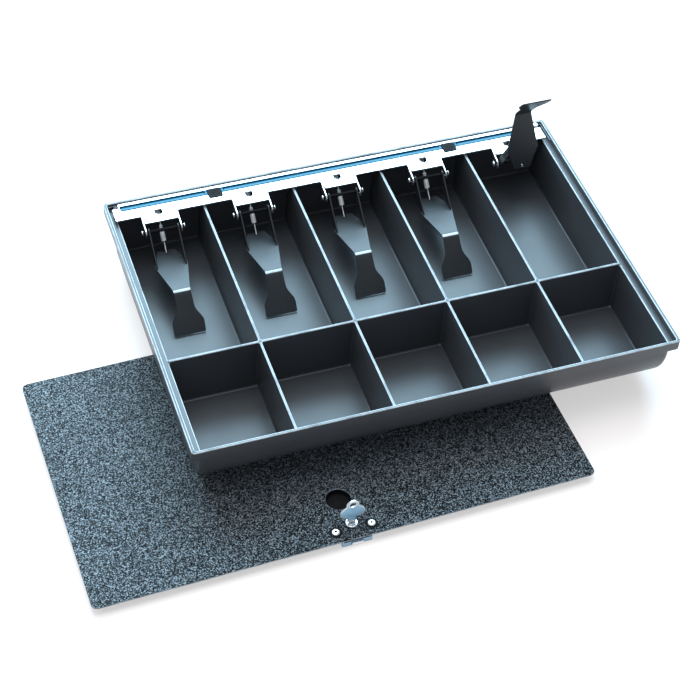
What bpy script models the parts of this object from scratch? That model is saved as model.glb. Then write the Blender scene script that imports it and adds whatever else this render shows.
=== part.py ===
"""Cash drawer till: a ten-compartment tray with five sprung note holders, lying on its keyed cover.

All lengths below are millimetres and all angles degrees; meshes are made in metres.
World frame: +Z up, the floor at Z = 0 under the cover, the origin at the middle of the footprint.
The tray frame has its origin at the middle of the rim's top plane; +X right, +Y to the back.
The cover frame has its origin at the middle of the cover's underside and is turned about Z.
"""
from math import atan2, cos, radians, sin

import bmesh
import bpy
from mathutils import Matrix, Vector

MM = 0.001
GAP = 0.3

# Tray moulding
TRAY_W = 406.4
TRAY_D = 285.75
TRAY_H = 57.15
RIM_CORNER = 3.0
SKIRT_H = 9.5
SKIRT_T = 1.8
LIP_SIDE = 3.0
LIP_FRONT = 2.4
LIP_BACK = 2.2
LEDGE_Z = -6.0
DIVIDER_TOP = -4.5
SEAT_TOP = -3.3
SEAT_Y = 118.0
DIVIDER_HALF = 1.0
PITCH = 79.9
OUTER_WALL_X = 195.0
CROSS_DIVIDER_Y = -42.8
BACK_WALL_Y = 138.2
WALL = 2.25
FLOOR_Z = -53.75
BASE_Z = FLOOR_Z - WALL
SCOOP_R = 37.75
SIDE_DRAFT = 1.4
POCKET_CORNER = 1.6
POCKET_FILLET = 1.6
BODY_CORNER = 5.0
BODY_BASE_ROUND = 5.0
FOOT_RING_W = 3.0
FOOT_RING_INSET = 9.0
SLOTS = 5

# Hold-down bar
BAR_TOP = -1.5
BAR_T = 1.5
BAR_BOTTOM = BAR_TOP - BAR_T
BAR_HALF = 197.0
BAR_FRONT_Y = 120.2
BAR_BACK_Y = TRAY_D / 2 - LIP_BACK - GAP
BAR_NOTCH_X = 191.3
BAR_NOTCH_Y = 134.8
BEAD_Y = 134.2
BEAD_HALF = 2.1
BEAD_DEPTH = 0.9
BEAD_END = 190.6
CLIP_X = 107.8
CLIP_HALF_X = 6.25
CLIP_Y0 = 125.7
CLIP_Y1 = 137.6
CLIP_RADIUS = 2.0
TAB_FRONT_Y = 110.8
TAB_HALF = 14.6
EAR_IN = 14.8
EAR_T = 1.2
EAR_ROOT_Y = 117.6
LANCE_HALF = 3.3
LANCE_Y0 = 118.6
LANCE_Y1 = 125.4
SCREW_X = 194.2
SCREW_Y = 137.7
SCREW_HEAD_R = 2.6

# Note holders
PIVOT_Y = 107.0
PIVOT_Z = -8.5
PIN_R = 1.5
PIN_HOLE_R = 1.8
PIN_HALF = 19.0
PIN_HEAD_R = 2.1
LUG_R = 3.5
EAR_LUG_R = 4.2
SHEET = 1.2
RAIL_OUT = 13.2
RAISED_TURN = 100.0
RAISED_SLOT = 4

# Springs
ANCHOR_Y = 120.5
ANCHOR_Z = -9.2
HOOK_Y = 99.6
HOOK_Z = -29.3
COIL_R = 1.8
COIL_START_R = 1.1
COIL_SPAN = (0.16, 0.45, 0.66)
WIRE_R = 0.5

# Cover and lock
STANDOFF = 6.5
COVER_T = 1.2
COVER_W = 408.0
COVER_D = 229.5
COVER_CORNER = 5.0
COVER_X = -98.7
COVER_Y = -97.9
COVER_TURN = 1.3
FINGER_X = 1.3
FINGER_INSET = 39.8
FINGER_R = 10.0
FINGER_CUP_T = 0.8
FINGER_CUP_FLANGE = 2.6
LOCK_X = 3.0
LOCK_INSET = 14.8
RIVET_HALF_SPAN = 14.6
RIVET_INSET = 10.0
WASHER_R = 5.0
WASHER_LOW = COVER_T + 0.15
WASHER_TOP = COVER_T + 0.45
BEZEL_R = 5.0
BARREL_R = 4.2
PLUG_R = 3.3
BLADE_HALF = 2.3
CASE_FRONT = 0.4
CASE_BACK = 26.0
CASE_FRONT_TOP = -1.6
BOLT_NOSE = -0.8
BOLT_THROW = 4.5
BOLT_HALF = 4.7
BOLT_LOW = -5.3
BOLT_T = 2.4
HOOK_X = (-56.0, 56.0)
HOOK_HALF = 6.0
HOOK_RIVET_INSETS = (52.0, 62.0)
HOOK_TIP = 39.0

# Places in the world
RIM_Z = STANDOFF + COVER_T + GAP + TRAY_H


def turned_extent(half_long, half_across, turn, corner):
    """Half size along X of a rectangle with rounded corners, turned about Z."""
    return (half_long - corner) * cos(turn) + (half_across - corner) * sin(turn) + corner


COVER_ANGLE = radians(COVER_TURN)
COVER_REACH_X = turned_extent(COVER_W / 2, COVER_D / 2, COVER_ANGLE, COVER_CORNER)
COVER_REACH_Y = turned_extent(COVER_D / 2, COVER_W / 2, COVER_ANGLE, COVER_CORNER)
TRAY_AT_X = -(COVER_X - COVER_REACH_X + TRAY_W / 2) / 2
TRAY_AT_Y = -(COVER_Y - COVER_REACH_Y + TRAY_D / 2) / 2


# ---------------------------------------------------------------- scene and mesh helpers

def clear_scene():
    for item in list(bpy.data.objects):
        bpy.data.objects.remove(item, do_unlink=True)


def make_material(name, colour, roughness, metallic):
    mat = bpy.data.materials.new(name)
    mat.use_nodes = True
    shader = mat.node_tree.nodes["Principled BSDF"]
    shader.inputs["Base Color"].default_value = (*colour, 1.0)
    shader.inputs["Roughness"].default_value = roughness
    shader.inputs["Metallic"].default_value = metallic
    mat.diffuse_color = (*colour, 1.0)
    return mat


def make_frame(name, location, turn_z=0.0, parent=None):
    """An empty that holds a local frame; location in millimetres."""
    empty = bpy.data.objects.new(name, None)
    bpy.context.collection.objects.link(empty)
    empty.location = Vector(location) * MM
    empty.rotation_euler = (0.0, 0.0, turn_z)
    empty.parent = parent
    return empty


def make_object(name, bm, mat, parent, origin=(0.0, 0.0, 0.0), smooth=False):
    """Turn a bmesh in frame millimetres into a named object whose origin is at `origin`."""
    bmesh.ops.recalc_face_normals(bm, faces=bm.faces)
    bmesh.ops.translate(bm, verts=bm.verts, vec=-Vector(origin))
    bmesh.ops.transform(bm, verts=bm.verts, matrix=Matrix.Scale(MM, 4))
    mesh = bpy.data.meshes.new(name)
    bm.to_mesh(mesh)
    bm.free()
    if smooth:
        mesh.shade_smooth()
        mesh.set_sharp_from_angle(angle=radians(35.0))
    mesh.materials.append(mat)
    obj = bpy.data.objects.new(name, mesh)
    bpy.context.collection.objects.link(obj)
    obj.location = Vector(origin) * MM
    obj.parent = parent
    return obj


def boolean(obj, cutter_bm, operation, label):
    """Cut or join a guide solid, given in the frame of the object's parent."""
    guide = make_object(f"guide_{obj.name}_{label}", cutter_bm, obj.data.materials[0], obj.parent)
    guide.hide_render = True
    guide.display_type = "WIRE"
    modifier = obj.modifiers.new(label, "BOOLEAN")
    modifier.operation = operation
    modifier.solver = "EXACT"
    modifier.object = guide


def loft(rings):
    """A closed solid through rings of equally many 3D points, with flat end caps."""
    bm = bmesh.new()
    rows = [[bm.verts.new(point) for point in ring] for ring in rings]
    count = len(rows[0])
    for lower, upper in zip(rows, rows[1:]):
        for i in range(count):
            j = (i + 1) % count
            bm.faces.new((lower[i], lower[j], upper[j], upper[i]))
    bm.faces.new(list(reversed(rows[0])))
    bm.faces.new(rows[-1])
    return bm


def arc(cx, cy, radius, start, end, steps):
    """Points along an arc, both ends included; angles in degrees."""
    angles = [radians(start + (end - start) * i / steps) for i in range(steps + 1)]
    return [(cx + radius * cos(a), cy + radius * sin(a)) for a in angles]


def rounded_rect(x0, x1, y0, y1, radius, steps=3):
    return (
        arc(x1 - radius, y0 + radius, radius, -90, 0, steps)
        + arc(x1 - radius, y1 - radius, radius, 0, 90, steps)
        + arc(x0 + radius, y1 - radius, radius, 90, 180, steps)
        + arc(x0 + radius, y0 + radius, radius, 180, 270, steps)
    )


def prism_z(outline, z0, z1):
    return loft([[(x, y, z0) for x, y in outline], [(x, y, z1) for x, y in outline]])


def prism_x(outline, x0, x1):
    """Extrude an outline of (y, z) points along X."""
    return loft([[(x0, y, z) for y, z in outline], [(x1, y, z) for y, z in outline]])


def prism_y(outline, y0, y1):
    """Extrude an outline of (x, z) points along Y."""
    return loft([[(x, y0, z) for x, z in outline], [(x, y1, z) for x, z in outline]])


def box(x0, x1, y0, y1, z0, z1):
    return prism_z([(x0, y0), (x1, y0), (x1, y1), (x0, y1)], z0, z1)


def disc(cx, cy, radius, z0, z1, steps=24):
    return prism_z(arc(cx, cy, radius, 0, 360 - 360 / steps, steps - 1), z0, z1)


def rod_x(cy, cz, radius, x0, x1, steps=16):
    return prism_x(arc(cy, cz, radius, 0, 360 - 360 / steps, steps - 1), x0, x1)


def turned(profile, steps=24, cx=0.0, cy=0.0):
    """A solid turned about Z at (cx, cy); the profile lists (radius, z), bottom first."""
    rings = []
    for radius, z in profile:
        ring = arc(cx, cy, radius, 0, 360 - 360 / steps, steps - 1)
        rings.append([(x, y, z) for x, y in ring])
    return loft(rings)


def join(parts):
    """Several bmeshes as one, for cutters that don't touch each other."""
    whole = bmesh.new()
    for part in parts:
        mesh = bpy.data.meshes.new("scratch")
        part.to_mesh(mesh)
        part.free()
        whole.from_mesh(mesh)
        bpy.data.meshes.remove(mesh)
    return whole


# ---------------------------------------------------------------- tray moulding

def slot_x(index):
    return (index - (SLOTS - 1) / 2) * PITCH


def slot_walls(index):
    """Left and right wall faces of a compartment at the dividers' top."""
    left = slot_x(index) - PITCH / 2 + DIVIDER_HALF
    right = slot_x(index) + PITCH / 2 - DIVIDER_HALF
    return max(left, -OUTER_WALL_X), min(right, OUTER_WALL_X)


def scoop(radius, steps):
    """(y, z) points down the curved front wall, from its straight top to the floor."""
    centre_z = FLOOR_Z + SCOOP_R
    centre_y = -(TRAY_D / 2 - LIP_FRONT - WALL) + SCOOP_R
    return arc(centre_y, centre_z, radius, 180, 270, steps)


def draft_at(z, amount):
    return amount * (DIVIDER_TOP - z) / (DIVIDER_TOP - FLOOR_Z)


def note_pocket(index):
    left, right = slot_walls(index)
    front = CROSS_DIVIDER_Y + DIVIDER_HALF
    rings = []
    for z in (2.0, DIVIDER_TOP, FLOOR_Z + POCKET_FILLET):
        inset = max(0.0, draft_at(z, SIDE_DRAFT))
        outline = rounded_rect(left + inset, right - inset, front + inset, BACK_WALL_Y - inset,
                               POCKET_CORNER)
        rings.append([(x, y, z) for x, y in outline])
    for turn in (45.0, 90.0):
        inset = SIDE_DRAFT + POCKET_FILLET * (1 - cos(radians(turn)))
        z = FLOOR_Z + POCKET_FILLET * (1 - sin(radians(turn)))
        outline = rounded_rect(left + inset, right - inset, front + inset, BACK_WALL_Y - inset,
                               POCKET_CORNER)
        rings.append([(x, y, z) for x, y in outline])
    return loft(rings)


def coin_pocket(index):
    left, right = slot_walls(index)
    back = CROSS_DIVIDER_Y - DIVIDER_HALF
    stations = [(-(TRAY_D / 2 - LIP_FRONT - WALL), 2.0)]
    stations += scoop(SCOOP_R, 8)
    rings = []
    for front, z in stations:
        side = max(0.0, draft_at(z, SIDE_DRAFT))
        rise = z - FLOOR_Z
        if rise < POCKET_FILLET:
            side += POCKET_FILLET * (1 - (1 - (1 - rise / POCKET_FILLET) ** 2) ** 0.5)
        outline = rounded_rect(left + side, right - side, front, back - side, POCKET_CORNER)
        rings.append([(x, y, z) for x, y in outline])
    return loft(rings)


def body_outline(z, front, shrink):
    half = OUTER_WALL_X + WALL - max(0.0, draft_at(z, SIDE_DRAFT)) - shrink
    back = BACK_WALL_Y + WALL - max(0.0, draft_at(z, SIDE_DRAFT)) - shrink
    return [(x, y, z) for x, y in rounded_rect(-half, half, front, back, BODY_CORNER, 4)]


def tray_body():
    """The outside of the compartments below the rim, with its curved front and rounded base."""
    front_top = -(TRAY_D / 2 - LIP_FRONT)
    rings = [body_outline(-1.0, front_top, 0.0)]
    for y, z in scoop(SCOOP_R + WALL, 10):
        low = max(0.0, BODY_BASE_ROUND - (z - BASE_Z)) / BODY_BASE_ROUND
        shrink = BODY_BASE_ROUND * (1 - (1 - low * low) ** 0.5)
        rings.append(body_outline(z, y, shrink))
    return loft(rings)


def foot_ring():
    """The low ring under the base that the tray stands on."""
    x1 = OUTER_WALL_X - FOOT_RING_INSET
    y0 = -(TRAY_D / 2 - LIP_FRONT - WALL - SCOOP_R)
    y1 = BACK_WALL_Y - FOOT_RING_INSET
    outer = rounded_rect(-x1, x1, y0, y1, BODY_CORNER)
    w = FOOT_RING_W
    inner = rounded_rect(-x1 + w, x1 - w, y0 + w, y1 - w, BODY_CORNER - w)
    bm = bmesh.new()
    loops = []
    for outline, z in ((outer, BASE_Z + 1.0), (outer, -TRAY_H), (inner, -TRAY_H), (inner, BASE_Z + 1.0)):
        loops.append([bm.verts.new((x, y, z)) for x, y in outline])
    count = len(outer)
    for a, b in zip(loops, loops[1:] + loops[:1]):
        for i in range(count):
            j = (i + 1) % count
            bm.faces.new((a[i], a[j], b[j], b[i]))
    return bm


def build_tray(parent, mat):
    half_x = TRAY_W / 2
    half_y = TRAY_D / 2
    soft = 0.7
    rings = []
    for inset, z in ((soft, 0.0), (soft * 0.3, -soft * 0.3), (0.0, -soft), (0.0, -SKIRT_H)):
        outline = rounded_rect(-half_x + inset, half_x - inset, -half_y + inset, half_y - inset,
                               RIM_CORNER, 4)
        rings.append([(x, y, z) for x, y in outline])
    tray = make_object("tray", loft(rings), mat, parent)
    boolean(tray, tray_body(), "UNION", "body")
    boolean(tray, foot_ring(), "UNION", "foot")
    near = rounded_rect(-half_x + LIP_SIDE, half_x - LIP_SIDE, -half_y + LIP_FRONT, SEAT_Y, 1.5, 2)
    far = rounded_rect(-half_x + LIP_SIDE, half_x - LIP_SIDE, SEAT_Y - 4.0, half_y - LIP_BACK, 1.5, 2)
    boolean(tray, prism_z(near, DIVIDER_TOP, 3.0), "DIFFERENCE", "recess")
    boolean(tray, prism_z(far, SEAT_TOP, 3.0), "DIFFERENCE", "bar_recess")
    channels = []
    for side in (-1, 1):
        near, far = sorted((side * OUTER_WALL_X, side * (half_x - LIP_SIDE)))
        channels.append(box(near - 0.5 * (side > 0), far + 0.5 * (side < 0), -half_y + LIP_FRONT,
                            half_y - LIP_BACK, LEDGE_Z, DIVIDER_TOP + 1.0))
    boolean(tray, join(channels), "DIFFERENCE", "ledges")
    undercuts = []
    for side in (-1, 1):
        near, far = sorted((side * (OUTER_WALL_X + WALL), side * (half_x - SKIRT_T)))
        undercuts.append(box(near, far, -half_y + 6.0, half_y - 6.0, -SKIRT_H - 1.0, -SKIRT_H + 1.5))
    boolean(tray, join(undercuts), "DIFFERENCE", "undercuts")
    boolean(tray, join([note_pocket(i) for i in range(SLOTS)]), "DIFFERENCE", "note_slots")
    boolean(tray, join([coin_pocket(i) for i in range(SLOTS)]), "DIFFERENCE", "coin_cups")
    boss = box(SCREW_X - 4.2, OUTER_WALL_X + 1.0, SCREW_Y - 4.2, BACK_WALL_Y + 1.0, -12.0, SEAT_TOP)
    boolean(tray, boss, "UNION", "screw_boss")
    boolean(tray, disc(SCREW_X, SCREW_Y, 1.8, -9.0, 1.0, 16), "DIFFERENCE", "screw_hole")


# ---------------------------------------------------------------- hold-down bar

def bar_outline():
    """The bar seen from above: front edge with its tabs, then the notched back edge."""
    points = [(-BAR_HALF, BAR_FRONT_Y)]
    outer = EAR_IN + EAR_T
    for i in range(SLOTS):
        x = slot_x(i)
        points += [(x - outer, BAR_FRONT_Y), (x - outer, EAR_ROOT_Y), (x - TAB_HALF, EAR_ROOT_Y),
                   (x - TAB_HALF, TAB_FRONT_Y), (x + TAB_HALF, TAB_FRONT_Y),
                   (x + TAB_HALF, EAR_ROOT_Y), (x + outer, EAR_ROOT_Y), (x + outer, BAR_FRONT_Y)]
    points += [(BAR_HALF, BAR_FRONT_Y), (BAR_HALF, BAR_NOTCH_Y), (BAR_NOTCH_X, BAR_NOTCH_Y),
               (BAR_NOTCH_X, BAR_BACK_Y), (-BAR_NOTCH_X, BAR_BACK_Y), (-BAR_NOTCH_X, BAR_NOTCH_Y),
               (-BAR_HALF, BAR_NOTCH_Y)]
    return points


def ear_outline():
    """An ear in side view: a lug round the pivot, joined to the tab by its bent root."""
    lug = arc(PIVOT_Y, PIVOT_Z, EAR_LUG_R, 115, 335, 10)
    middle = (BAR_BOTTOM + BAR_TOP) / 2
    return lug + [(EAR_ROOT_Y + 1.2, BAR_BOTTOM - 1.2), (EAR_ROOT_Y + 1.2, middle), (EAR_ROOT_Y - 1.6, middle)]


def lance_outline():
    """The tongue pressed down out of the tab, in side view, that the spring hooks on."""
    tip_y = ANCHOR_Y + 0.9
    tip_z = ANCHOR_Z + 1.2
    bend_y = LANCE_Y1 - 0.3
    return [(LANCE_Y1 + 1.1, BAR_TOP - 0.5), (LANCE_Y1 - 0.2, BAR_TOP - 0.7), (bend_y, tip_z + 2.6),
            (bend_y - 1.3, tip_z + 0.9), (tip_y, tip_z + 0.7), (tip_y, tip_z - 0.3),
            (bend_y - 0.7, tip_z - 0.2), (LANCE_Y1 + 0.8, tip_z + 2.0), (LANCE_Y1 + 1.1, BAR_BOTTOM - 0.7)]


def bead(x0, x1):
    """A long pressed groove with round ends."""
    points = (arc(x1 - BEAD_HALF, BEAD_Y, BEAD_HALF, -90, 90, 6)
              + arc(x0 + BEAD_HALF, BEAD_Y, BEAD_HALF, 90, 270, 6))
    floor = [(x, BEAD_Y + (y - BEAD_Y) * 0.45) for x, y in points]
    return loft([[(x, y, BAR_TOP - BEAD_DEPTH) for x, y in floor],
                 [(x, y, BAR_TOP) for x, y in points],
                 [(x, y, BAR_TOP + 1.0) for x, y in points]])


def build_bar(parent, mat):
    bar = make_object("hold_down_bar", prism_z(bar_outline(), BAR_BOTTOM, BAR_TOP), mat, parent)
    ears = []
    for i in range(SLOTS):
        x = slot_x(i)
        ears.append(prism_x(ear_outline(), x - EAR_IN - EAR_T, x - EAR_IN))
        ears.append(prism_x(ear_outline(), x + EAR_IN, x + EAR_IN + EAR_T))
    boolean(bar, join(ears), "UNION", "ears")
    cuts = [rod_x(PIVOT_Y, PIVOT_Z, PIN_HOLE_R, slot_x(i) - 17.0, slot_x(i) + 17.0)
            for i in range(SLOTS)]
    boolean(bar, join(cuts), "DIFFERENCE", "pin_holes")
    windows = [prism_z(rounded_rect(side * CLIP_X - CLIP_HALF_X, side * CLIP_X + CLIP_HALF_X, CLIP_Y0,
                                    CLIP_Y1, CLIP_RADIUS, 2), BAR_BOTTOM - 1, BAR_TOP + 2)
               for side in (-1, 1)]
    for i in range(SLOTS):
        x = slot_x(i)
        hole = ([(x + LANCE_HALF, LANCE_Y1), (x - LANCE_HALF, LANCE_Y1)]
                + arc(x, LANCE_Y0 + LANCE_HALF, LANCE_HALF, 180, 360, 6))
        windows.append(prism_z(hole, BAR_BOTTOM - 0.3, BAR_TOP + 2))
    boolean(bar, join(windows), "DIFFERENCE", "windows")
    tongues = [prism_x(lance_outline(), slot_x(i) - 2.2, slot_x(i) + 2.2) for i in range(SLOTS)]
    boolean(bar, join(tongues), "UNION", "tongues")
    ends = CLIP_X - CLIP_HALF_X - 1.2
    grooves = [bead(-BEAD_END, -CLIP_X - CLIP_HALF_X - 1.2), bead(-ends, ends),
               bead(CLIP_X + CLIP_HALF_X + 1.2, BEAD_END)]
    boolean(bar, join(grooves), "DIFFERENCE", "beads")


def build_clip(name, x, parent, mat):
    """A plastic block that fills its window in the bar and hooks under the bar's back."""
    g = GAP
    outline = rounded_rect(x - CLIP_HALF_X + g, x + CLIP_HALF_X - g, CLIP_Y0 + g, CLIP_Y1 - g,
                           CLIP_RADIUS - g, 2)
    low = BAR_BOTTOM - 3.0
    clip = make_object(name, prism_z(outline, low, BAR_TOP + 0.5), mat, parent)
    barb = box(x - 4.5, x + 4.5, CLIP_Y0 - 1.0, CLIP_Y1 - 3.0, low, BAR_BOTTOM - g)
    boolean(clip, barb, "UNION", "barb")


def build_bar_screw(parent, mat):
    r = SCREW_HEAD_R
    shape = [(1.0, -8.4), (1.5, -7.6), (1.5, SEAT_TOP + GAP), (r, SEAT_TOP + GAP), (r, BAR_TOP + 0.2),
             (r * 0.9, BAR_TOP + 1.1), (r * 0.62, BAR_TOP + 1.7), (r * 0.3, BAR_TOP + 1.95)]
    make_object("bar_screw", turned(shape, 24, SCREW_X, SCREW_Y), mat, parent, smooth=True)


# ---------------------------------------------------------------- note holders

def pivot_turn(index):
    """The holder in the raised slot stands up; the others are down on the floor."""
    return radians(-RAISED_TURN) if index == RAISED_SLOT else 0.0


def turn_about_pivot(y, z, angle):
    dy = y - PIVOT_Y
    dz = z - PIVOT_Z
    return PIVOT_Y + dy * cos(angle) - dz * sin(angle), PIVOT_Z + dy * sin(angle) + dz * cos(angle)


def arm_web():
    """The arm's plate, bend and paddle as one strip, through stations of (y, z, half width)."""
    stations = [(102.4, -30.0, 7.9), (88.0, -28.98, 12.6), (85.8, -28.82, 13.1), (84.8, -28.75, 14.3),
                (82.3, -28.57, 14.3), (50.2, -26.3, 7.5), (48.0, -26.9, 7.35), (46.4, -28.3, 7.3),
                (39.4, -36.2, 7.7), (37.4, -38.5, 8.5), (34.6, -41.6, 11.2), (32.6, -43.9, 12.9),
                (30.8, -45.9, 13.6), (24.5, -53.2, 13.6)]
    rings = []
    for i, (y, z, half) in enumerate(stations):
        before = stations[max(i - 1, 0)]
        after = stations[min(i + 1, len(stations) - 1)]
        slope = atan2(before[1] - after[1], before[0] - after[0])
        up_y = -sin(slope) * SHEET
        up_z = cos(slope) * SHEET
        rings.append([(-half, y, z), (half, y, z), (half, y + up_y, z + up_z), (-half, y + up_y, z + up_z)])
    return loft(rings)


def rail_outline():
    """A side rail in side view: a lug round the pin, sloping down to the plate's shoulder."""
    lug = arc(PIVOT_Y, PIVOT_Z, LUG_R, -60, 121, 8)
    return lug + [(82.4, -24.4), (80.2, -27.0), (81.6, -28.0), (88.5, -28.4)]


def build_arm(name, index, parent, mat):
    x = slot_x(index)
    arm = make_object(name, arm_web(), mat, parent)
    rails = [prism_x(rail_outline(), -RAIL_OUT, -RAIL_OUT + SHEET),
             prism_x(rail_outline(), RAIL_OUT - SHEET, RAIL_OUT)]
    boolean(arm, join(rails), "UNION", "rails")
    holes = [rod_x(PIVOT_Y, PIVOT_Z, PIN_HOLE_R, -RAIL_OUT - 1, RAIL_OUT + 1),
             disc(0.0, HOOK_Y, 1.4, HOOK_Z - 3.0, HOOK_Z + 3.0, 12)]
    boolean(arm, join(holes), "DIFFERENCE", "holes")
    hinge = make_frame(f"hinge_{name}", (x, PIVOT_Y, PIVOT_Z), parent=parent)
    hinge.rotation_euler = (pivot_turn(index), 0.0, 0.0)
    for item in [arm] + [m.object for m in arm.modifiers]:
        item.parent = hinge
        item.location = (0.0, -PIVOT_Y * MM, -PIVOT_Z * MM)


def build_pin(name, index, parent, mat):
    x = slot_x(index)
    rings = []
    for radius, at in ((PIN_HEAD_R * 0.7, -PIN_HALF), (PIN_HEAD_R, -PIN_HALF + 0.4),
                       (PIN_HEAD_R, -PIN_HALF + 1.0), (PIN_R, -PIN_HALF + 1.2),
                       (PIN_R, PIN_HALF - 1.2), (PIN_HEAD_R, PIN_HALF - 1.0),
                       (PIN_HEAD_R, PIN_HALF - 0.4), (PIN_HEAD_R * 0.7, PIN_HALF)):
        circle = arc(PIVOT_Y, PIVOT_Z, radius, 0, 337.5, 15)
        rings.append([(x + at, y, z) for y, z in circle])
    make_object(name, loft(rings), mat, parent, smooth=True)


def build_spring(name, index, parent, mat):
    """The stretched spring's outer shape: end wires and the close-wound coil between them."""
    start = Vector((slot_x(index), ANCHOR_Y, ANCHOR_Z))
    hook_y, hook_z = turn_about_pivot(HOOK_Y, HOOK_Z + 0.6, pivot_turn(index))
    end = Vector((slot_x(index), hook_y, hook_z))
    along = (end - start).normalized()
    side = Vector((1.0, 0.0, 0.0))
    up = along.cross(side)
    length = (end - start).length
    first, full, last = (length * share for share in COIL_SPAN)
    stations = ((0.0, WIRE_R), (first - 0.6, WIRE_R), (first, COIL_START_R), (full, COIL_R),
                (last, COIL_R), (last + 0.6, WIRE_R), (length, WIRE_R))
    rings = []
    for at, radius in stations:
        centre = start + along * at
        ring = arc(0.0, 0.0, radius, 0, 330, 11)
        rings.append([tuple(centre + side * a + up * b) for a, b in ring])
    make_object(name, loft(rings), mat, parent, smooth=True)


# ---------------------------------------------------------------- cover and lock

def front_y(inset):
    """A distance behind the cover's front edge, in the cover frame."""
    return -COVER_D / 2 + inset


def hook_rivet_places():
    return [(x, COVER_D / 2 - inset) for x in HOOK_X for inset in HOOK_RIVET_INSETS]


def build_cover_plate(parent, mat):
    outline = rounded_rect(-COVER_W / 2, COVER_W / 2, -COVER_D / 2, COVER_D / 2, COVER_CORNER, 4)
    plate = make_object("cover_plate", prism_z(outline, 0.0, COVER_T), mat, parent)
    cuts = [disc(FINGER_X, front_y(FINGER_INSET), FINGER_R, -1, 3, 32),
            disc(LOCK_X, front_y(LOCK_INSET), BARREL_R + GAP, -1, 3, 32)]
    for side in (-1, 1):
        cuts.append(disc(LOCK_X + side * RIVET_HALF_SPAN, front_y(RIVET_INSET), 1.55, -1, 3, 12))
    cuts += [disc(x, y, 1.9, -1, 3, 12) for x, y in hook_rivet_places()]
    boolean(plate, join(cuts), "DIFFERENCE", "holes")


def build_finger_cup(parent, mat):
    """The moulded dish under the finger hole, with a flange under the plate."""
    x = FINGER_X
    y = front_y(FINGER_INSET)
    t = FINGER_CUP_T
    low = -STANDOFF + GAP
    flange = FINGER_R + FINGER_CUP_FLANGE
    shape = [(FINGER_R - 1.0, low), (FINGER_R + t, low + 1.8), (FINGER_R + t, -GAP - t), (flange, -GAP - t),
             (flange, -GAP)]
    cup = make_object("finger_cup", turned(shape, 32, x, y), mat, parent, smooth=True)
    dish = [(FINGER_R - 1.4, low + t), (FINGER_R, low + 2.0), (FINGER_R, 1.0)]
    boolean(cup, turned(dish, 32, x, y), "DIFFERENCE", "dish")


def build_lock_case(parent, mat):
    """A pressed box under the plate with two riveted wings; the bolt leaves through its front."""
    back = front_y(CASE_BACK)
    front = front_y(CASE_FRONT)
    wall = 1.0
    half = 12.4
    wing = 18.4
    top = -GAP
    low = -STANDOFF
    x = LOCK_X
    case = make_object("lock_case", box(x - half, x + half, front, back, low, top), mat, parent)
    flange = prism_z(rounded_rect(x - wing, x + wing, front_y(5.2), front_y(14.8), 2.5), top - wall, top)
    boolean(case, flange, "UNION", "wings")
    inside = box(x - half + wall, x + half - wall, front + wall, back - wall, low + wall, 2.0)
    boolean(case, inside, "DIFFERENCE", "inside")
    mouth = box(x - half + wall, x + half - wall, front - 1.0, front + wall + 0.5, CASE_FRONT_TOP, 1.0)
    boolean(case, mouth, "DIFFERENCE", "mouth")
    slot = box(x - BOLT_HALF - GAP, x + BOLT_HALF + GAP, front - 1.0, front + 2.0, BOLT_LOW - GAP,
               BOLT_LOW + BOLT_T + GAP)
    boolean(case, slot, "DIFFERENCE", "bolt_slot")
    holes = [disc(x + side * RIVET_HALF_SPAN, front_y(RIVET_INSET), 1.55, -2.5, 1, 12)
             for side in (-1, 1)]
    boolean(case, join(holes), "DIFFERENCE", "rivet_holes")


def build_lock_housing(parent, mat):
    x = LOCK_X
    y = front_y(LOCK_INSET)
    outside = [(BARREL_R, -1.8), (BARREL_R, COVER_T + GAP), (BEZEL_R, COVER_T + GAP),
               (BEZEL_R, COVER_T + 1.0), (BEZEL_R - 0.3, COVER_T + 1.6), (BEZEL_R - 0.9, COVER_T + 1.8)]
    housing = make_object("lock_housing", turned(outside, 32, x, y), mat, parent, smooth=True)
    boolean(housing, disc(x, y, PLUG_R + GAP, -4, 6, 32), "DIFFERENCE", "bore")


def build_lock_plug(parent, mat):
    x = LOCK_X
    y = front_y(LOCK_INSET)
    shape = [(PLUG_R, -1.8), (PLUG_R, COVER_T + 1.5), (PLUG_R - 0.3, COVER_T + 1.8)]
    plug = make_object("lock_plug", turned(shape, 24, x, y), mat, parent, (x, y, 0.0), smooth=True)
    keyway = box(x - BLADE_HALF - GAP, x + BLADE_HALF + GAP, y - 0.95, y + 0.95, -1.2, 6.0)
    boolean(plug, keyway, "DIFFERENCE", "keyway")


def build_lock_cam(parent, mat):
    """The disc under the plug, with the pin that drives the bolt."""
    x = LOCK_X
    y = front_y(LOCK_INSET)
    cam = make_object("lock_cam", disc(x, y, 6.0, -2.6, -2.1), mat, parent, (x, y, 0.0), smooth=True)
    boolean(cam, disc(x + BOLT_THROW, y, 1.0, -4.9, -2.3, 12), "UNION", "drive_pin")


def build_lock_bolt(parent, mat):
    x = LOCK_X
    y = front_y(LOCK_INSET)
    shoulder = y - 6.4
    outline = [(x - BOLT_HALF, front_y(BOLT_NOSE)), (x + BOLT_HALF, front_y(BOLT_NOSE)), (x + BOLT_HALF, shoulder),
               (x + 9.0, shoulder + 2.0), (x + 9.0, y + 4.0), (x - 9.0, y + 4.0),
               (x - 9.0, shoulder + 2.0), (x - BOLT_HALF, shoulder)]
    bolt = make_object("lock_bolt", prism_z(outline, BOLT_LOW, BOLT_LOW + BOLT_T), mat, parent)
    window = box(x - 1.7, x + BOLT_THROW + 1.8, y - 2.4, y + 2.4, -6, -2)
    boolean(bolt, window, "DIFFERENCE", "window")


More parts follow.
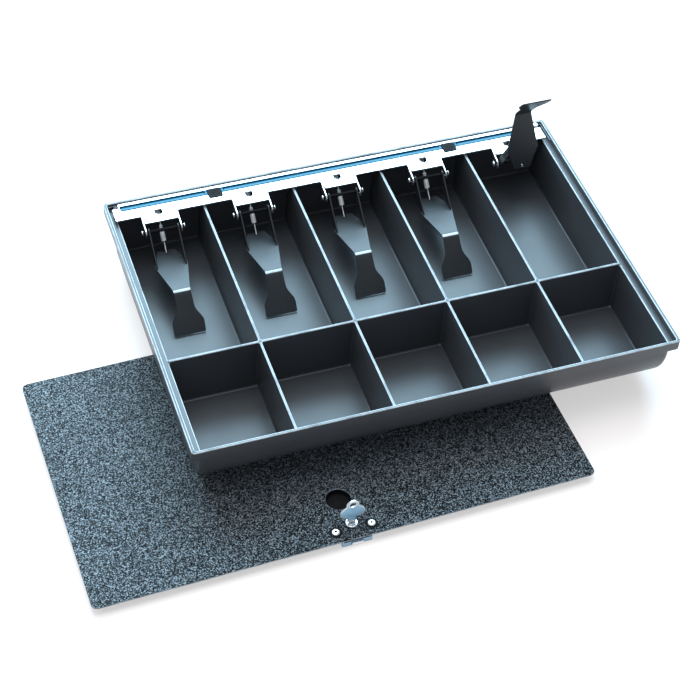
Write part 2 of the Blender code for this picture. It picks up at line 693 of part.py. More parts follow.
def build_key(parent, mat):
    """A flat key standing in the plug: a clover bow over a narrow blade."""
    x = LOCK_X
    y = front_y(LOCK_INSET)
    z = COVER_T
    blade = BLADE_HALF
    outline = (
        [(x - blade, -0.8), (x + blade, -0.8), (x + blade, z + 3.2), (x + 3.6, z + 3.8),
         (x + 3.6, z + 8.0)]
        + arc(x + 4.4, z + 14.3, 5.8, -70, 62, 8)
        + arc(x, z + 22.8, 5.2, -22, 202, 12)
        + arc(x - 4.4, z + 14.3, 5.8, 118, 250, 8)
        + [(x - 3.6, z + 8.0), (x - 3.6, z + 3.8), (x - blade, z + 3.2)]
    )
    key = make_object("key", prism_y(outline, y - 0.65, y + 0.65), mat, parent, (x, y, 0.0))
    hole = prism_y(arc(x, z + 23.1, 2.6, 0, 345, 23), y - 3.0, y + 3.0)
    boolean(key, hole, "DIFFERENCE", "ring_hole")


def build_lock_washer(name, side, parent, mat):
    x = LOCK_X + side * RIVET_HALF_SPAN
    y = front_y(RIVET_INSET)
    washer = make_object(name, disc(x, y, WASHER_R, WASHER_LOW, WASHER_TOP, 32), mat, parent, smooth=True)
    boolean(washer, disc(x, y, 1.55, 0.0, 5.0, 12), "DIFFERENCE", "bore")


def build_lock_rivet(name, side, parent, mat):
    x = LOCK_X + side * RIVET_HALF_SPAN
    y = front_y(RIVET_INSET)
    under = -GAP - 1.0 - GAP
    seat = WASHER_TOP + 0.15
    shape = [(1.3, under - 1.0), (1.85, under - 0.7), (1.85, under), (1.2, under), (1.2, seat), (3.3, seat),
             (3.2, seat + 0.6), (2.4, seat + 1.0), (1.1, seat + 1.2)]
    make_object(name, turned(shape, 24, x, y), mat, parent, smooth=True)


def build_rear_hook(name, x, parent, mat):
    """A joggled strap riveted under the plate; its tip tucks under the hold-down bar."""
    back = COVER_D / 2
    top = -GAP
    low = -STANDOFF
    t = 1.5
    rest = back - HOOK_RIVET_INSETS[0] + 12.0
    side_view = [(back - HOOK_RIVET_INSETS[1] - 6.0, top), (back - HOOK_RIVET_INSETS[1] - 6.0, top - t),
                 (rest - 5.6, top - t), (rest, low), (back + HOOK_TIP - 2.0, low),
                 (back + HOOK_TIP, low + 0.8), (back + HOOK_TIP, low + t), (rest + 1.0, low + t),
                 (rest - 4.6, top)]
    hook = make_object(name, prism_x(side_view, x - HOOK_HALF, x + HOOK_HALF), mat, parent)
    holes = [disc(hx, hy, 1.9, -4, 1, 12) for hx, hy in hook_rivet_places() if hx == x]
    boolean(hook, join(holes), "DIFFERENCE", "rivet_holes")


def build_hook_rivet(name, x, y, parent, mat):
    under = -GAP - 1.5 - GAP
    shape = [(2.0, under - 0.9), (2.9, under - 0.6), (2.9, under), (1.55, under), (1.55, COVER_T - 0.1)]
    make_object(name, turned(shape, 16, x, y), mat, parent, smooth=True)


# ---------------------------------------------------------------- assembly

def main():
    clear_scene()
    tray_black = make_material("tray_black", (0.018, 0.019, 0.021), 0.22, 0.0)
    clip_black = make_material("clip_black", (0.012, 0.012, 0.013), 0.45, 0.0)
    plated = make_material("bright_plated_steel", (0.80, 0.82, 0.84), 0.22, 1.0)
    pin_black = make_material("pin_black_oxide", (0.03, 0.03, 0.032), 0.35, 1.0)
    arm_black = make_material("arm_black_enamel", (0.020, 0.021, 0.024), 0.30, 0.0)
    spring_steel = make_material("spring_steel", (0.78, 0.77, 0.72), 0.25, 1.0)
    cover_black = make_material("cover_wrinkle_black", (0.050, 0.058, 0.062), 0.55, 0.0)
    key_steel = make_material("key_steel", (0.62, 0.72, 0.80), 0.30, 1.0)

    tray_frame = make_frame("tray_frame", (TRAY_AT_X, TRAY_AT_Y, RIM_Z))
    build_tray(tray_frame, tray_black)
    build_bar(tray_frame, plated)
    build_clip("bar_clip_left", -CLIP_X, tray_frame, clip_black)
    build_clip("bar_clip_right", CLIP_X, tray_frame, clip_black)
    build_bar_screw(tray_frame, plated)
    for i in range(SLOTS):
        number = i + 1
        build_arm(f"note_holder_{number}", i, tray_frame, arm_black)
        build_pin(f"pivot_pin_{number}", i, tray_frame, pin_black)
        build_spring(f"spring_{number}", i, tray_frame, spring_steel)

    cover_frame = make_frame("cover_frame", (TRAY_AT_X + COVER_X, TRAY_AT_Y + COVER_Y, STANDOFF),
                             COVER_ANGLE)
    build_cover_plate(cover_frame, cover_black)
    build_finger_cup(cover_frame, clip_black)
    build_lock_case(cover_frame, plated)
    build_lock_housing(cover_frame, plated)
    build_lock_plug(cover_frame, plated)
    build_lock_cam(cover_frame, plated)
    build_lock_bolt(cover_frame, plated)
    build_key(cover_frame, key_steel)
    build_lock_washer("lock_washer_left", -1, cover_frame, clip_black)
    build_lock_washer("lock_washer_right", 1, cover_frame, clip_black)
    build_lock_rivet("lock_rivet_left", -1, cover_frame, plated)
    build_lock_rivet("lock_rivet_right", 1, cover_frame, plated)
    build_rear_hook("rear_hook_left", HOOK_X[0], cover_frame, plated)
    build_rear_hook("rear_hook_right", HOOK_X[1], cover_frame, plated)
    for number, (x, y) in enumerate(hook_rivet_places(), 1):
        build_hook_rivet(f"hook_rivet_{number}", x, y, cover_frame, plated)


main()
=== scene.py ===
"""Looks of the cash drawer tray: moulded tray, plated bar, sprung note holders and keyed cover.

Shapes are drawn in millimetres in three local frames and then placed in the world, in metres:
the tray frame (origin at the middle of the rim's top), the cover frame (middle of the sheet's
underside, turned about Z) and the holder frame, which is the tray frame turned about the pivot.
"""

from math import atan2, cos, hypot, pi, radians, sin, sqrt

import bmesh
import bpy
from mathutils import Matrix, Vector


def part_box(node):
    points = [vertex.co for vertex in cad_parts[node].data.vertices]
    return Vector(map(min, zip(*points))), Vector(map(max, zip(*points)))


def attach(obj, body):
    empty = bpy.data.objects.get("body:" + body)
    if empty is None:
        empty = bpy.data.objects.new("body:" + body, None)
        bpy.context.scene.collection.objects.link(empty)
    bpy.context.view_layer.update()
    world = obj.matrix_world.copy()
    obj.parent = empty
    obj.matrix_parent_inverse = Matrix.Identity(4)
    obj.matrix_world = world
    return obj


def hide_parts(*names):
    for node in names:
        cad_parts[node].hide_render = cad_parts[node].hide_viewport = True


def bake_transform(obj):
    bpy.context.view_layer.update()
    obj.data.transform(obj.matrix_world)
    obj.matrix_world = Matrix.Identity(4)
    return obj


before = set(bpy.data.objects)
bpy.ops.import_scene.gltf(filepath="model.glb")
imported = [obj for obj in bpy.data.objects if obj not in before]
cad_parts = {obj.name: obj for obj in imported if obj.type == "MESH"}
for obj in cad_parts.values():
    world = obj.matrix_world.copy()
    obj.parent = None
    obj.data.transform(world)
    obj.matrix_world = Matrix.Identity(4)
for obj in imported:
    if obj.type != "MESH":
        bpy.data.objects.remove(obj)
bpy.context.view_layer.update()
MM = 0.001

# Tray
SKIRT_H = 9.5
SKIRT_T = 1.8
LIP_SIDE = 3.0
LIP_FRONT = 2.4
LIP_BACK = 2.2
LIP_ROUND = 0.75
RIM_CORNER = 3.0
LEDGE_Z = -6.0
DIVIDER_TOP = -4.5
SEAT_TOP = -3.3
SEAT_Y = 118.0
PITCH = 79.9
SLOTS = 5
DIVIDER_HALF = 1.0
EDGE_ROUND = 0.75
OUTER_WALL_X = 195.0
CROSS_DIVIDER_Y = -42.8
BACK_WALL_Y = 138.2
WALL = 2.25
FLOOR_Z = -53.75
BASE_Z = FLOOR_Z - WALL
SCOOP_R = 37.75
DRAFT = 1.4
POCKET_CORNER = 1.6
POCKET_FILLET = 1.6
BODY_CORNER = 5.0
BASE_ROUND = 5.0
FOOT_INSET = 9.0
FOOT_W = 3.0

# Bar
BAR_TOP = -1.5
BAR_BOTTOM = -3.0
BAR_HALF = 197.0
BAR_FRONT_Y = 120.2
BAR_BACK_GAP = 0.3
BAR_NOTCH_X = 191.3
BAR_NOTCH_Y = 134.8
BEAD_Y = 134.2
BEAD_HALF = 2.1
BEAD_END = 190.6
CLIP_X = 107.8
CLIP_HALF_X = 6.25
CLIP_Y0 = 125.7
CLIP_Y1 = 137.6
TAB_FRONT_Y = 110.8
TAB_HALF = 14.6
EAR_IN = 14.8
EAR_T = 1.2
EAR_ROOT_Y = 117.6
HOLE_HALF = 3.3
HOLE_Y0 = 118.6
HOLE_Y1 = 125.4

# Note holders and springs
PIVOT_Y = 107.0
PIVOT_Z = -8.5
PIN_R = 1.5
PIN_HOLE_R = 1.8
PIN_HALF = 19.0
PIN_HEAD_FROM = 16.4
LUG_R = 3.5
EAR_LUG_R = 4.2
SHEET = 1.2
RAIL_OUT = 13.2
BEND_CREST = (48.4, 50.3)
RAISED_SLOT = 4
RAISED_TURN = -100.0
ANCHOR = (120.5, -9.2)
HOOK = (99.6, -28.7)
COIL_R = 1.85
COIL_START_R = 1.1
COIL_SPAN = (0.16, 0.45, 0.66)
WIRE_R = 0.4
COIL_TURNS = 21

# Cover and lock
COVER_T = 1.2
COVER_W = 408.0
COVER_D = 229.5
COVER_CORNER = 5.0
COVER_TURN = 1.3
STANDOFF = 6.5
FINGER_X = 1.3
FINGER_INSET = 39.8
FINGER_R = 10.0
FINGER_CUP_T = 0.8
FINGER_CUP_FLANGE = 2.6
LOCK_X = 3.0
LOCK_INSET = 14.8
RIVET_HALF_SPAN = 14.6
RIVET_INSET = 10.0
RIVET_HOLE_R = 1.55
RIVET_HOLLOW_R = 0.99
WASHER_R = 5.0
BEZEL_R = 5.0
BARREL_R = 4.2
PLUG_R = 3.3
BLADE_HALF = 2.3
CASE_FRONT = 0.4
CASE_BACK = 26.0
CASE_FRONT_TOP = -1.6
BOLT_NOSE = -0.8
BOLT_HALF = 4.7
BOLT_LOW = -5.3
BOLT_TOP = -2.9
HOOK_X = (-56.0, 56.0)
HOOK_HALF = 6.0
HOOK_RIVET_INSETS = (52.0, 62.0)
HOOK_TIP = 39.0
GAP = 0.3

# Camera, and the floor in metres
VIEW_AZIMUTH = -21.50
VIEW_ELEVATION = 47.39
VIEW_ROLL = 3.65
VIEW_DISTANCE = 1390.9
VIEW_TARGET = (-55.87, -76.23, 0.0)
VIEW_LENS = 90.49
FLOOR_HALF = 6.0

# Local frames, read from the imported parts
TRAY_LOW, TRAY_HIGH = (Vector(corner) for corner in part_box("tray"))
COVER_LOW, COVER_HIGH = (Vector(corner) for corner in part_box("cover_plate"))
HALF_X = (TRAY_HIGH.x - TRAY_LOW.x) / 2 / MM
HALF_Y = (TRAY_HIGH.y - TRAY_LOW.y) / 2 / MM
TRAY_H = (TRAY_HIGH.z - TRAY_LOW.z) / MM
TRAY_ORIGIN = Vector(((TRAY_LOW.x + TRAY_HIGH.x) / 2, (TRAY_LOW.y + TRAY_HIGH.y) / 2, TRAY_HIGH.z))
COVER_ORIGIN = Vector(((COVER_LOW.x + COVER_HIGH.x) / 2, (COVER_LOW.y + COVER_HIGH.y) / 2, COVER_LOW.z))
TO_TRAY = Matrix.Translation(TRAY_ORIGIN) @ Matrix.Scale(MM, 4)
TO_COVER = (Matrix.Translation(COVER_ORIGIN) @ Matrix.Rotation(radians(COVER_TURN), 4, "Z")
            @ Matrix.Scale(MM, 4))
ABOUT_PIVOT = (Matrix.Translation((0.0, PIVOT_Y, PIVOT_Z)) @ Matrix.Rotation(radians(RAISED_TURN), 4, "X")
               @ Matrix.Translation((0.0, -PIVOT_Y, -PIVOT_Z)))


# ---------------------------------------------------------------- mesh helpers

def arc(cx, cy, radius, start, end, steps):
    """Points along an arc, both ends included; angles in degrees."""
    angles = [radians(start + (end - start) * i / steps) for i in range(steps + 1)]
    return [(cx + radius * cos(a), cy + radius * sin(a)) for a in angles]


def circle(cx, cy, radius, steps):
    return arc(cx, cy, radius, 0, 360 - 360 / steps, steps - 1)


def rect(x0, x1, y0, y1):
    return [(x0, y0), (x1, y0), (x1, y1), (x0, y1)]


def rounded_rect(x0, x1, y0, y1, radius, steps=5):
    return (
        arc(x1 - radius, y0 + radius, radius, -90, 0, steps)
        + arc(x1 - radius, y1 - radius, radius, 0, 90, steps)
        + arc(x0 + radius, y1 - radius, radius, 90, 180, steps)
        + arc(x0 + radius, y0 + radius, radius, 180, 270, steps)
    )


def loft(rings):
    """A closed solid through rings of equally many 3D points, with flat end caps."""
    bm = bmesh.new()
    rows = [[bm.verts.new(point) for point in ring] for ring in rings]
    count = len(rows[0])
    for lower, upper in zip(rows, rows[1:]):
        for i in range(count):
            j = (i + 1) % count
            bm.faces.new((lower[i], lower[j], upper[j], upper[i]))
    bm.faces.new(list(reversed(rows[0])))
    bm.faces.new(rows[-1])
    return bm


def flat(x, y, z):
    return (x, y, z)


def across_x(y, z, x):
    """Maps an outline of (y, z) points, extruded along X."""
    return (x, y, z)


def across_y(x, z, y):
    """Maps an outline of (x, z) points, extruded along Y."""
    return (x, y, z)


def offset(outline, distance):
    """The outline moved outwards by `distance`; the outline runs anticlockwise."""
    count = len(outline)
    moved = []
    for i in range(count):
        ax, ay = outline[i - 1]
        bx, by = outline[i]
        cx, cy = outline[(i + 1) % count]
        d1 = hypot(bx - ax, by - ay) or 1.0
        d2 = hypot(cx - bx, cy - by) or 1.0
        n1 = ((by - ay) / d1, -(bx - ax) / d1)
        n2 = ((cy - by) / d2, -(cx - bx) / d2)
        scale = distance / max(0.35, 1.0 + n1[0] * n2[0] + n1[1] * n2[1])
        moved.append((bx + (n1[0] + n2[0]) * scale, by + (n1[1] + n2[1]) * scale))
    return moved


def is_anticlockwise(outline):
    area = 0.0
    for (ax, ay), (bx, by) in zip(outline, outline[1:] + outline[:1]):
        area += ax * by - bx * ay
    return area > 0


def sheet(outline, low, high, edge, place=flat, steps=3):
    """An outline extruded from low to high, with its edges rounded."""
    if not is_anticlockwise(outline):
        outline = list(reversed(outline))
    levels = []
    for i in range(steps + 1):
        turn = radians(90 * i / steps)
        levels.append((edge * (sin(turn) - 1), edge * (1 - cos(turn))))
    rings = [[place(u, v, low + rise) for u, v in offset(outline, out)] for out, rise in levels]
    rings += [[place(u, v, high - rise) for u, v in offset(outline, out)] for out, rise in reversed(levels)]
    return loft(rings)


def hole(outline, low, high, edge, place=flat, steps=3, reach=0.5):
    """A cutter for a hole through low to high whose rims are rounded."""
    if not is_anticlockwise(outline):
        outline = list(reversed(outline))
    levels = []
    for i in range(steps + 1):
        turn = radians(90 * i / steps)
        levels.append((edge * (1 - sin(turn)), edge * (1 - cos(turn))))
    rings = [[place(u, v, low - reach) for u, v in offset(outline, edge)]]
    rings += [[place(u, v, low + rise) for u, v in offset(outline, out)] for out, rise in levels]
    rings += [[place(u, v, high - rise) for u, v in offset(outline, out)] for out, rise in reversed(levels)]
    rings.append([place(u, v, high + reach) for u, v in offset(outline, edge)])
    return loft(rings)


def turned(profile, steps=48, cx=0.0, cy=0.0):
    """A solid turned about Z; the profile lists (radius, z), bottom first."""
    return loft([[(x, y, z) for x, y in circle(cx, cy, radius, steps)] for radius, z in profile])


def turned_ring(profile, steps, cx, cy):
    """A ring turned about Z from a closed profile of (radius, z)."""
    bm = bmesh.new()
    rows = [[bm.verts.new((x, y, z)) for x, y in circle(cx, cy, radius, steps)] for radius, z in profile]
    for lower, upper in zip(rows, rows[1:] + rows[:1]):
        for i in range(steps):
            j = (i + 1) % steps
            bm.faces.new((lower[i], lower[j], upper[j], upper[i]))
    return bm


def tube(points, radius, sides=8):
    """A round wire along points, with flat ends."""
    rings = []
    side = None
    for i, point in enumerate(points):
        ahead = points[min(i + 1, len(points) - 1)]
        behind = points[max(i - 1, 0)]
        along = (ahead - behind).normalized()
        if side is None:
            side = along.orthogonal().normalized()
        side = (side - along * side.dot(along)).normalized()
        up = along.cross(side)
        rings.append([tuple(point + side * (radius * cos(2 * pi * k / sides))
                            + up * (radius * sin(2 * pi * k / sides))) for k in range(sides)])
    return loft(rings)


def join(parts):
    """Several bmeshes as one, for cutters that don't touch each other."""
    whole = bmesh.new()
    for part in parts:
        mesh = bpy.data.meshes.new("scratch")
        part.to_mesh(mesh)
        part.free()
        whole.from_mesh(mesh)
        bpy.data.meshes.remove(mesh)
    return whole


def mesh_object(name, bm):
    bmesh.ops.recalc_face_normals(bm, faces=bm.faces)
    mesh = bpy.data.meshes.new(name)
    bm.to_mesh(mesh)
    bm.free()
    obj = bpy.data.objects.new(name, mesh)
    bpy.context.collection.objects.link(obj)
    return obj


def bmesh_of(obj):
    bm = bmesh.new()
    bm.from_mesh(obj.data)
    return bm


def bake_modifiers(obj):
    """Replaces the object's mesh by what its modifiers make of it."""
    graph = bpy.context.evaluated_depsgraph_get()
    baked = bpy.data.meshes.new_from_object(obj.evaluated_get(graph))
    obj.modifiers.clear()
    old = obj.data
    obj.data = baked
    bpy.data.meshes.remove(old)


def boolean(obj, tool, operation="DIFFERENCE"):
    guide = mesh_object("tool", tool)
    modifier = obj.modifiers.new("boolean", "BOOLEAN")
    modifier.operation = operation
    modifier.solver = "EXACT"
    modifier.object = guide
    bake_modifiers(obj)
    bpy.data.objects.remove(guide, do_unlink=True)


def finish_piece(obj, place, mat, body, nodes, sharp=38.0):
    """Moves the mesh to the world, shades it and ties it to its body and nodes."""
    obj.data.transform(place)
    obj.data.shade_smooth()
    obj.data.set_sharp_from_angle(angle=radians(sharp))
    weighted = obj.modifiers.new("weighted", "WEIGHTED_NORMAL")
    weighted.keep_sharp = True
    weighted.weight = 90
    bake_modifiers(obj)
    obj.data.materials.clear()
    obj.data.materials.append(mat)
    if body:
        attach(obj, body)
    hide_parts(*nodes)


def paint(obj, mat, test):
    """Gives a second material to the faces whose centre and normal pass the test."""
    obj.data.materials.append(mat)
    index = len(obj.data.materials) - 1
    for face in obj.data.polygons:
        if test(face.center, face.normal):
            face.material_index = index


# ---------------------------------------------------------------- materials

class Shader:
    """Short hand for building one Principled material from nodes."""

    def __init__(self, name, colour, roughness, metallic=0.0):
        self.mat = bpy.data.materials.new(name)
        self.mat.use_nodes = True
        self.tree = self.mat.node_tree
        self.bsdf = self.tree.nodes["Principled BSDF"]
        self.set("Base Color", (*colour, 1.0))
        self.set("Roughness", roughness)
        self.set("Metallic", metallic)
        self.coords = self.tree.nodes.new("ShaderNodeTexCoord").outputs["Object"]

    def set(self, socket, value):
        self.bsdf.inputs[socket].default_value = value

    def link(self, output, socket):
        self.tree.links.new(output, socket)

    def noise(self, scale, detail=3.0, roughness=0.5, stretch=(1.0, 1.0, 1.0), distortion=0.0):
        mapping = self.tree.nodes.new("ShaderNodeMapping")
        mapping.inputs["Scale"].default_value = stretch
        self.link(self.coords, mapping.inputs["Vector"])
        node = self.tree.nodes.new("ShaderNodeTexNoise")
        node.inputs["Scale"].default_value = scale
        node.inputs["Detail"].default_value = detail
        node.inputs["Roughness"].default_value = roughness
        node.inputs["Distortion"].default_value = distortion
        self.link(mapping.outputs["Vector"], node.inputs["Vector"])
        return node.outputs["Fac"]

    def ramp(self, fac, stops):
        """A colour ramp; stops are (position, colour or grey)."""
        node = self.tree.nodes.new("ShaderNodeValToRGB")
        ramp = node.color_ramp
        while len(ramp.elements) < len(stops):
            ramp.elements.new(0.5)
        for element, (position, colour) in zip(ramp.elements, stops):
            element.position = position
            value = colour if isinstance(colour, tuple) else (colour, colour, colour)
            element.color = (*value, 1.0)
        self.link(fac, node.inputs["Fac"])
        return node.outputs["Color"]

    def span(self, fac, low, high, to_low, to_high):
        node = self.tree.nodes.new("ShaderNodeMapRange")
        for socket, value in (("From Min", low), ("From Max", high), ("To Min", to_low), ("To Max", to_high)):
            node.inputs[socket].default_value = value
        self.link(fac, node.inputs["Value"])
        return node.outputs["Result"]

    def math(self, operation, a, b):
        node = self.tree.nodes.new("ShaderNodeMath")
        node.operation = operation
        for socket, value in zip(node.inputs, (a, b)):
            if isinstance(value, (int, float)):
                socket.default_value = value
            else:
                self.link(value, socket)
        return node.outputs["Value"]

    def mix(self, fac, a, b):
        node = self.tree.nodes.new("ShaderNodeMix")
        node.data_type = "RGBA"
        for socket, value in ((node.inputs["Factor"], fac), (node.inputs["A"], a), (node.inputs["B"], b)):
            if isinstance(value, tuple):
                socket.default_value = (*value, 1.0)
            elif isinstance(value, (int, float)):
                socket.default_value = value
            else:
                self.link(value, socket)
        for output in node.outputs:
            if output.type == "RGBA":
                return output

    def bump(self, height, strength, distance, normal=None):
        node = self.tree.nodes.new("ShaderNodeBump")
        node.inputs["Strength"].default_value = strength
        node.inputs["Distance"].default_value = distance
        self.link(height, node.inputs["Height"])
        if normal is not None:
            self.link(normal, node.inputs["Normal"])
        self.link(node.outputs["Normal"], self.bsdf.inputs["Normal"])
        return node.outputs["Normal"]

    def colour(self, output):
        self.link(output, self.bsdf.inputs["Base Color"])

    def rough(self, output):
        self.link(output, self.bsdf.inputs["Roughness"])


def tray_material():
    """Satin black moulding with faint flow marks and a very fine grain."""
    s = Shader("tray_moulding", (0.024, 0.025, 0.028), 0.34)
    flow = s.noise(9.0, 4.0, 0.55, (1.0, 0.35, 1.0), 0.6)
    haze = s.noise(55.0, 4.0, 0.6)
    fine = s.noise(1900.0, 2.0, 0.5)
    s.colour(s.ramp(flow, [(0.3, (0.042, 0.0445, 0.049)), (0.7, (0.052, 0.055, 0.061))]))
    gloss = s.span(flow, 0.3, 0.7, 0.32, 0.37)
    s.rough(s.math("ADD", gloss, s.span(haze, 0.35, 0.7, -0.01, 0.025)))
    wave = s.bump(flow, 0.08, 0.0004)
    s.bump(fine, 0.08, 0.00003, wave)
    return s.mat


def ridge_highlight_material():
    """Painted highlight for the moulding's small rounded edges along the rim and dividers: pale and shiny,
    where they catch the light.
    """
    s = Shader("painted_ridge_highlight", (0.4, 0.45, 0.48), 0.3)
    mottle = s.noise(70.0, 4.0, 0.6)
    s.colour(s.ramp(mottle, [(0.3, (0.2, 0.23, 0.25)), (0.55, (0.48, 0.53, 0.56))]))
    s.rough(s.span(mottle, 0.3, 0.7, 0.36, 0.26))
    s.bump(mottle, 0.1, 0.00004)
    return s.mat


def clip_material(name="clip_plastic"):
    """Dull black plastic, a little greyer where it is handled."""
    s = Shader(name, (0.006, 0.006, 0.0065), 0.7)
    grain = s.noise(1400.0, 3.0)
    s.colour(s.ramp(s.noise(120.0), [(0.3, 0.004), (0.8, (0.009, 0.009, 0.01))]))
    s.rough(s.span(grain, 0.3, 0.7, 0.62, 0.8))
    s.set("Specular IOR Level", 0.12)
    s.bump(grain, 0.2, 0.00005)
    return s.mat


def plating_material(name, colour, roughness, stretch, streak=600.0):
    """Bright plate over rolled steel: fine rolling lines, faint cloudiness and small marks."""
    s = Shader(name, colour, roughness, 1.0)
    lines = s.noise(streak, 4.0, 0.6, stretch)
    cloud = s.noise(28.0, 3.0, 0.5)
    marks = s.noise(900.0, 2.0, 0.5)
    darker = tuple(c * 0.86 for c in colour)
    tone = s.mix(s.span(cloud, 0.3, 0.7, 0.0, 1.0), colour, darker)
    tone = s.mix(s.span(marks, 0.7, 0.85, 0.0, 0.35), tone, tuple(c * 0.6 for c in colour))
    s.colour(tone)
    s.rough(s.math("ADD", s.span(lines, 0.3, 0.7, roughness * 0.8, roughness * 1.2),
                   s.span(cloud, 0.4, 0.7, 0.0, 0.04)))
    s.bump(lines, 0.1, 0.00003)
    return s, tone


def bead_painted_shade(s, tone):
    """Painted shade tinted blue along the bar's pressed bead: two dark lines with a paler one between them.
    """
    place = s.tree.nodes.new("ShaderNodeSeparateXYZ")
    s.link(s.coords, place.inputs["Vector"])
    across = s.math("SUBTRACT", place.outputs["Y"], TRAY_ORIGIN.y + BEAD_Y * MM)
    band = s.math("MULTIPLY", s.span(across, -0.0041, -0.0038, 0.0, 1.0),
                  s.span(across, 0.0029, 0.0032, 1.0, 0.0))
    middle = s.math("MULTIPLY", s.span(across, -0.0024, -0.002, 0.0, 1.0),
                    s.span(across, 0.0006, 0.001, 1.0, 0.0))
    along = s.math("ABSOLUTE", s.math("SUBTRACT", place.outputs["X"], TRAY_ORIGIN.x), 0.0)
    inside = s.span(along, (BEAD_END - 0.3) * MM, BEAD_END * MM, 1.0, 0.0)
    blue = s.mix(middle, (0.005, 0.032, 0.058), (0.03, 0.07, 0.09))
    s.colour(s.mix(s.math("MULTIPLY", band, inside), tone, blue))


def arm_material():
    """Smooth black enamel on stamped steel: slight orange peel and fine scuffs."""
    s = Shader("arm_enamel", (0.012, 0.0135, 0.016), 0.42)
    peel = s.noise(520.0, 2.0, 0.5)
    cloud = s.noise(60.0, 4.0, 0.6)
    scuffs = s.noise(300.0, 5.0, 0.7, (1.0, 0.2, 1.0))
    tone = s.ramp(cloud, [(0.3, (0.01, 0.0115, 0.0135)), (0.75, (0.015, 0.017, 0.02))])
    s.colour(s.mix(s.span(scuffs, 0.66, 0.85, 0.0, 0.25), tone, (0.04, 0.043, 0.048)))
    s.rough(s.math("ADD", s.span(cloud, 0.3, 0.7, 0.39, 0.45), s.span(scuffs, 0.6, 0.8, 0.0, 0.05)))
    s.bump(peel, 0.15, 0.00004)
    return s.mat


def cover_material():
    """Pebbled black paint with close raised grains; its colour carries painted glints, pale on the grain
    tops, and painted shade, near black in the seams.
    """
    s = Shader("cover_paint", (0.016, 0.019, 0.022), 0.36)
    grain = s.noise(980.0, 2.0, 0.6)
    fine = s.noise(2400.0, 2.0, 0.6)
    cloud = s.noise(9.0, 3.0, 0.55)
    # Painted glints and shade: the grain noise makes the base colour pale on the grain tops and near black in
    # the seams.
    s.colour(s.ramp(grain, [(0.42, (0.003, 0.0035, 0.004)), (0.52, (0.018, 0.022, 0.0255)),
                          (0.62, (0.27, 0.32, 0.35))]))
    s.link(s.span(grain, 0.4, 0.62, 0.12, 0.95), s.bsdf.inputs["Specular IOR Level"])
    s.rough(s.math("ADD", s.span(fine, 0.3, 0.7, 0.3, 0.42), s.span(cloud, 0.35, 0.7, 0.0, 0.05)))
    s.bump(grain, 1.0, 0.0024)
    return s.mat


def cut_edge_highlight_material():
    """Painted highlight for the cover's cut edges and hole walls: pale, with a mottled tone."""
    s = Shader("cover_edge_highlight", (0.2, 0.23, 0.26), 0.4)
    mottle = s.noise(160.0, 4.0, 0.65)
    s.colour(s.ramp(mottle, [(0.35, (0.1, 0.12, 0.14)), (0.65, (0.34, 0.38, 0.42))]))
    s.rough(s.span(mottle, 0.3, 0.7, 0.32, 0.5))
    s.bump(mottle, 0.2, 0.00005)
    return s.mat


def key_material():
    """Stamped steel with a soft grain along the key; its blue tint is painted reflection."""
    s = Shader("key_steel", (0.32, 0.56, 0.74), 0.42, 0.55)
    grain = s.noise(420.0, 4.0, 0.6, (1.0, 1.0, 0.3))
    cloud = s.noise(110.0, 3.0, 0.5)
    s.colour(s.mix(s.span(cloud, 0.3, 0.7, 0.0, 1.0), (0.27, 0.5, 0.68), (0.36, 0.6, 0.78)))
    s.rough(s.span(grain, 0.3, 0.7, 0.36, 0.48))
    s.bump(grain, 0.12, 0.00004)
    return s.mat


# ---------------------------------------------------------------- tray

def slot_x(index):
    return (index - (SLOTS - 1) / 2) * PITCH


def slot_walls(index):
    left = slot_x(index) - PITCH / 2 + DIVIDER_HALF
    right = slot_x(index) + PITCH / 2 - DIVIDER_HALF
    return max(left, -OUTER_WALL_X), min(right, OUTER_WALL_X)


def draft_at(z):
    return DRAFT * max(0.0, DIVIDER_TOP - z) / (DIVIDER_TOP - FLOOR_Z)


def flare(z, top):
    """How far a wall's rounded top edge leans back at height z."""
    rise = min(EDGE_ROUND, max(0.0, z - top + EDGE_ROUND))
    return EDGE_ROUND - sqrt(EDGE_ROUND ** 2 - rise ** 2)


def floor_fillet(z):
    rise = z - FLOOR_Z
    if rise >= POCKET_FILLET:
        return 0.0
    return POCKET_FILLET * (1 - sqrt(1 - (1 - rise / POCKET_FILLET) ** 2))


def scoop_front(z, radius=SCOOP_R):
    """Where the curved front wall is at height z."""
    centre_z = FLOOR_Z + SCOOP_R
    centre_y = -(HALF_Y - LIP_FRONT - WALL) + SCOOP_R
    if z >= centre_z:
        return centre_y - radius
    return centre_y - sqrt(max(0.0, radius ** 2 - (centre_z - z) ** 2))


def top_levels(top):
    return [top - EDGE_ROUND + EDGE_ROUND * sin(radians(90 * i / 4)) for i in range(5)]


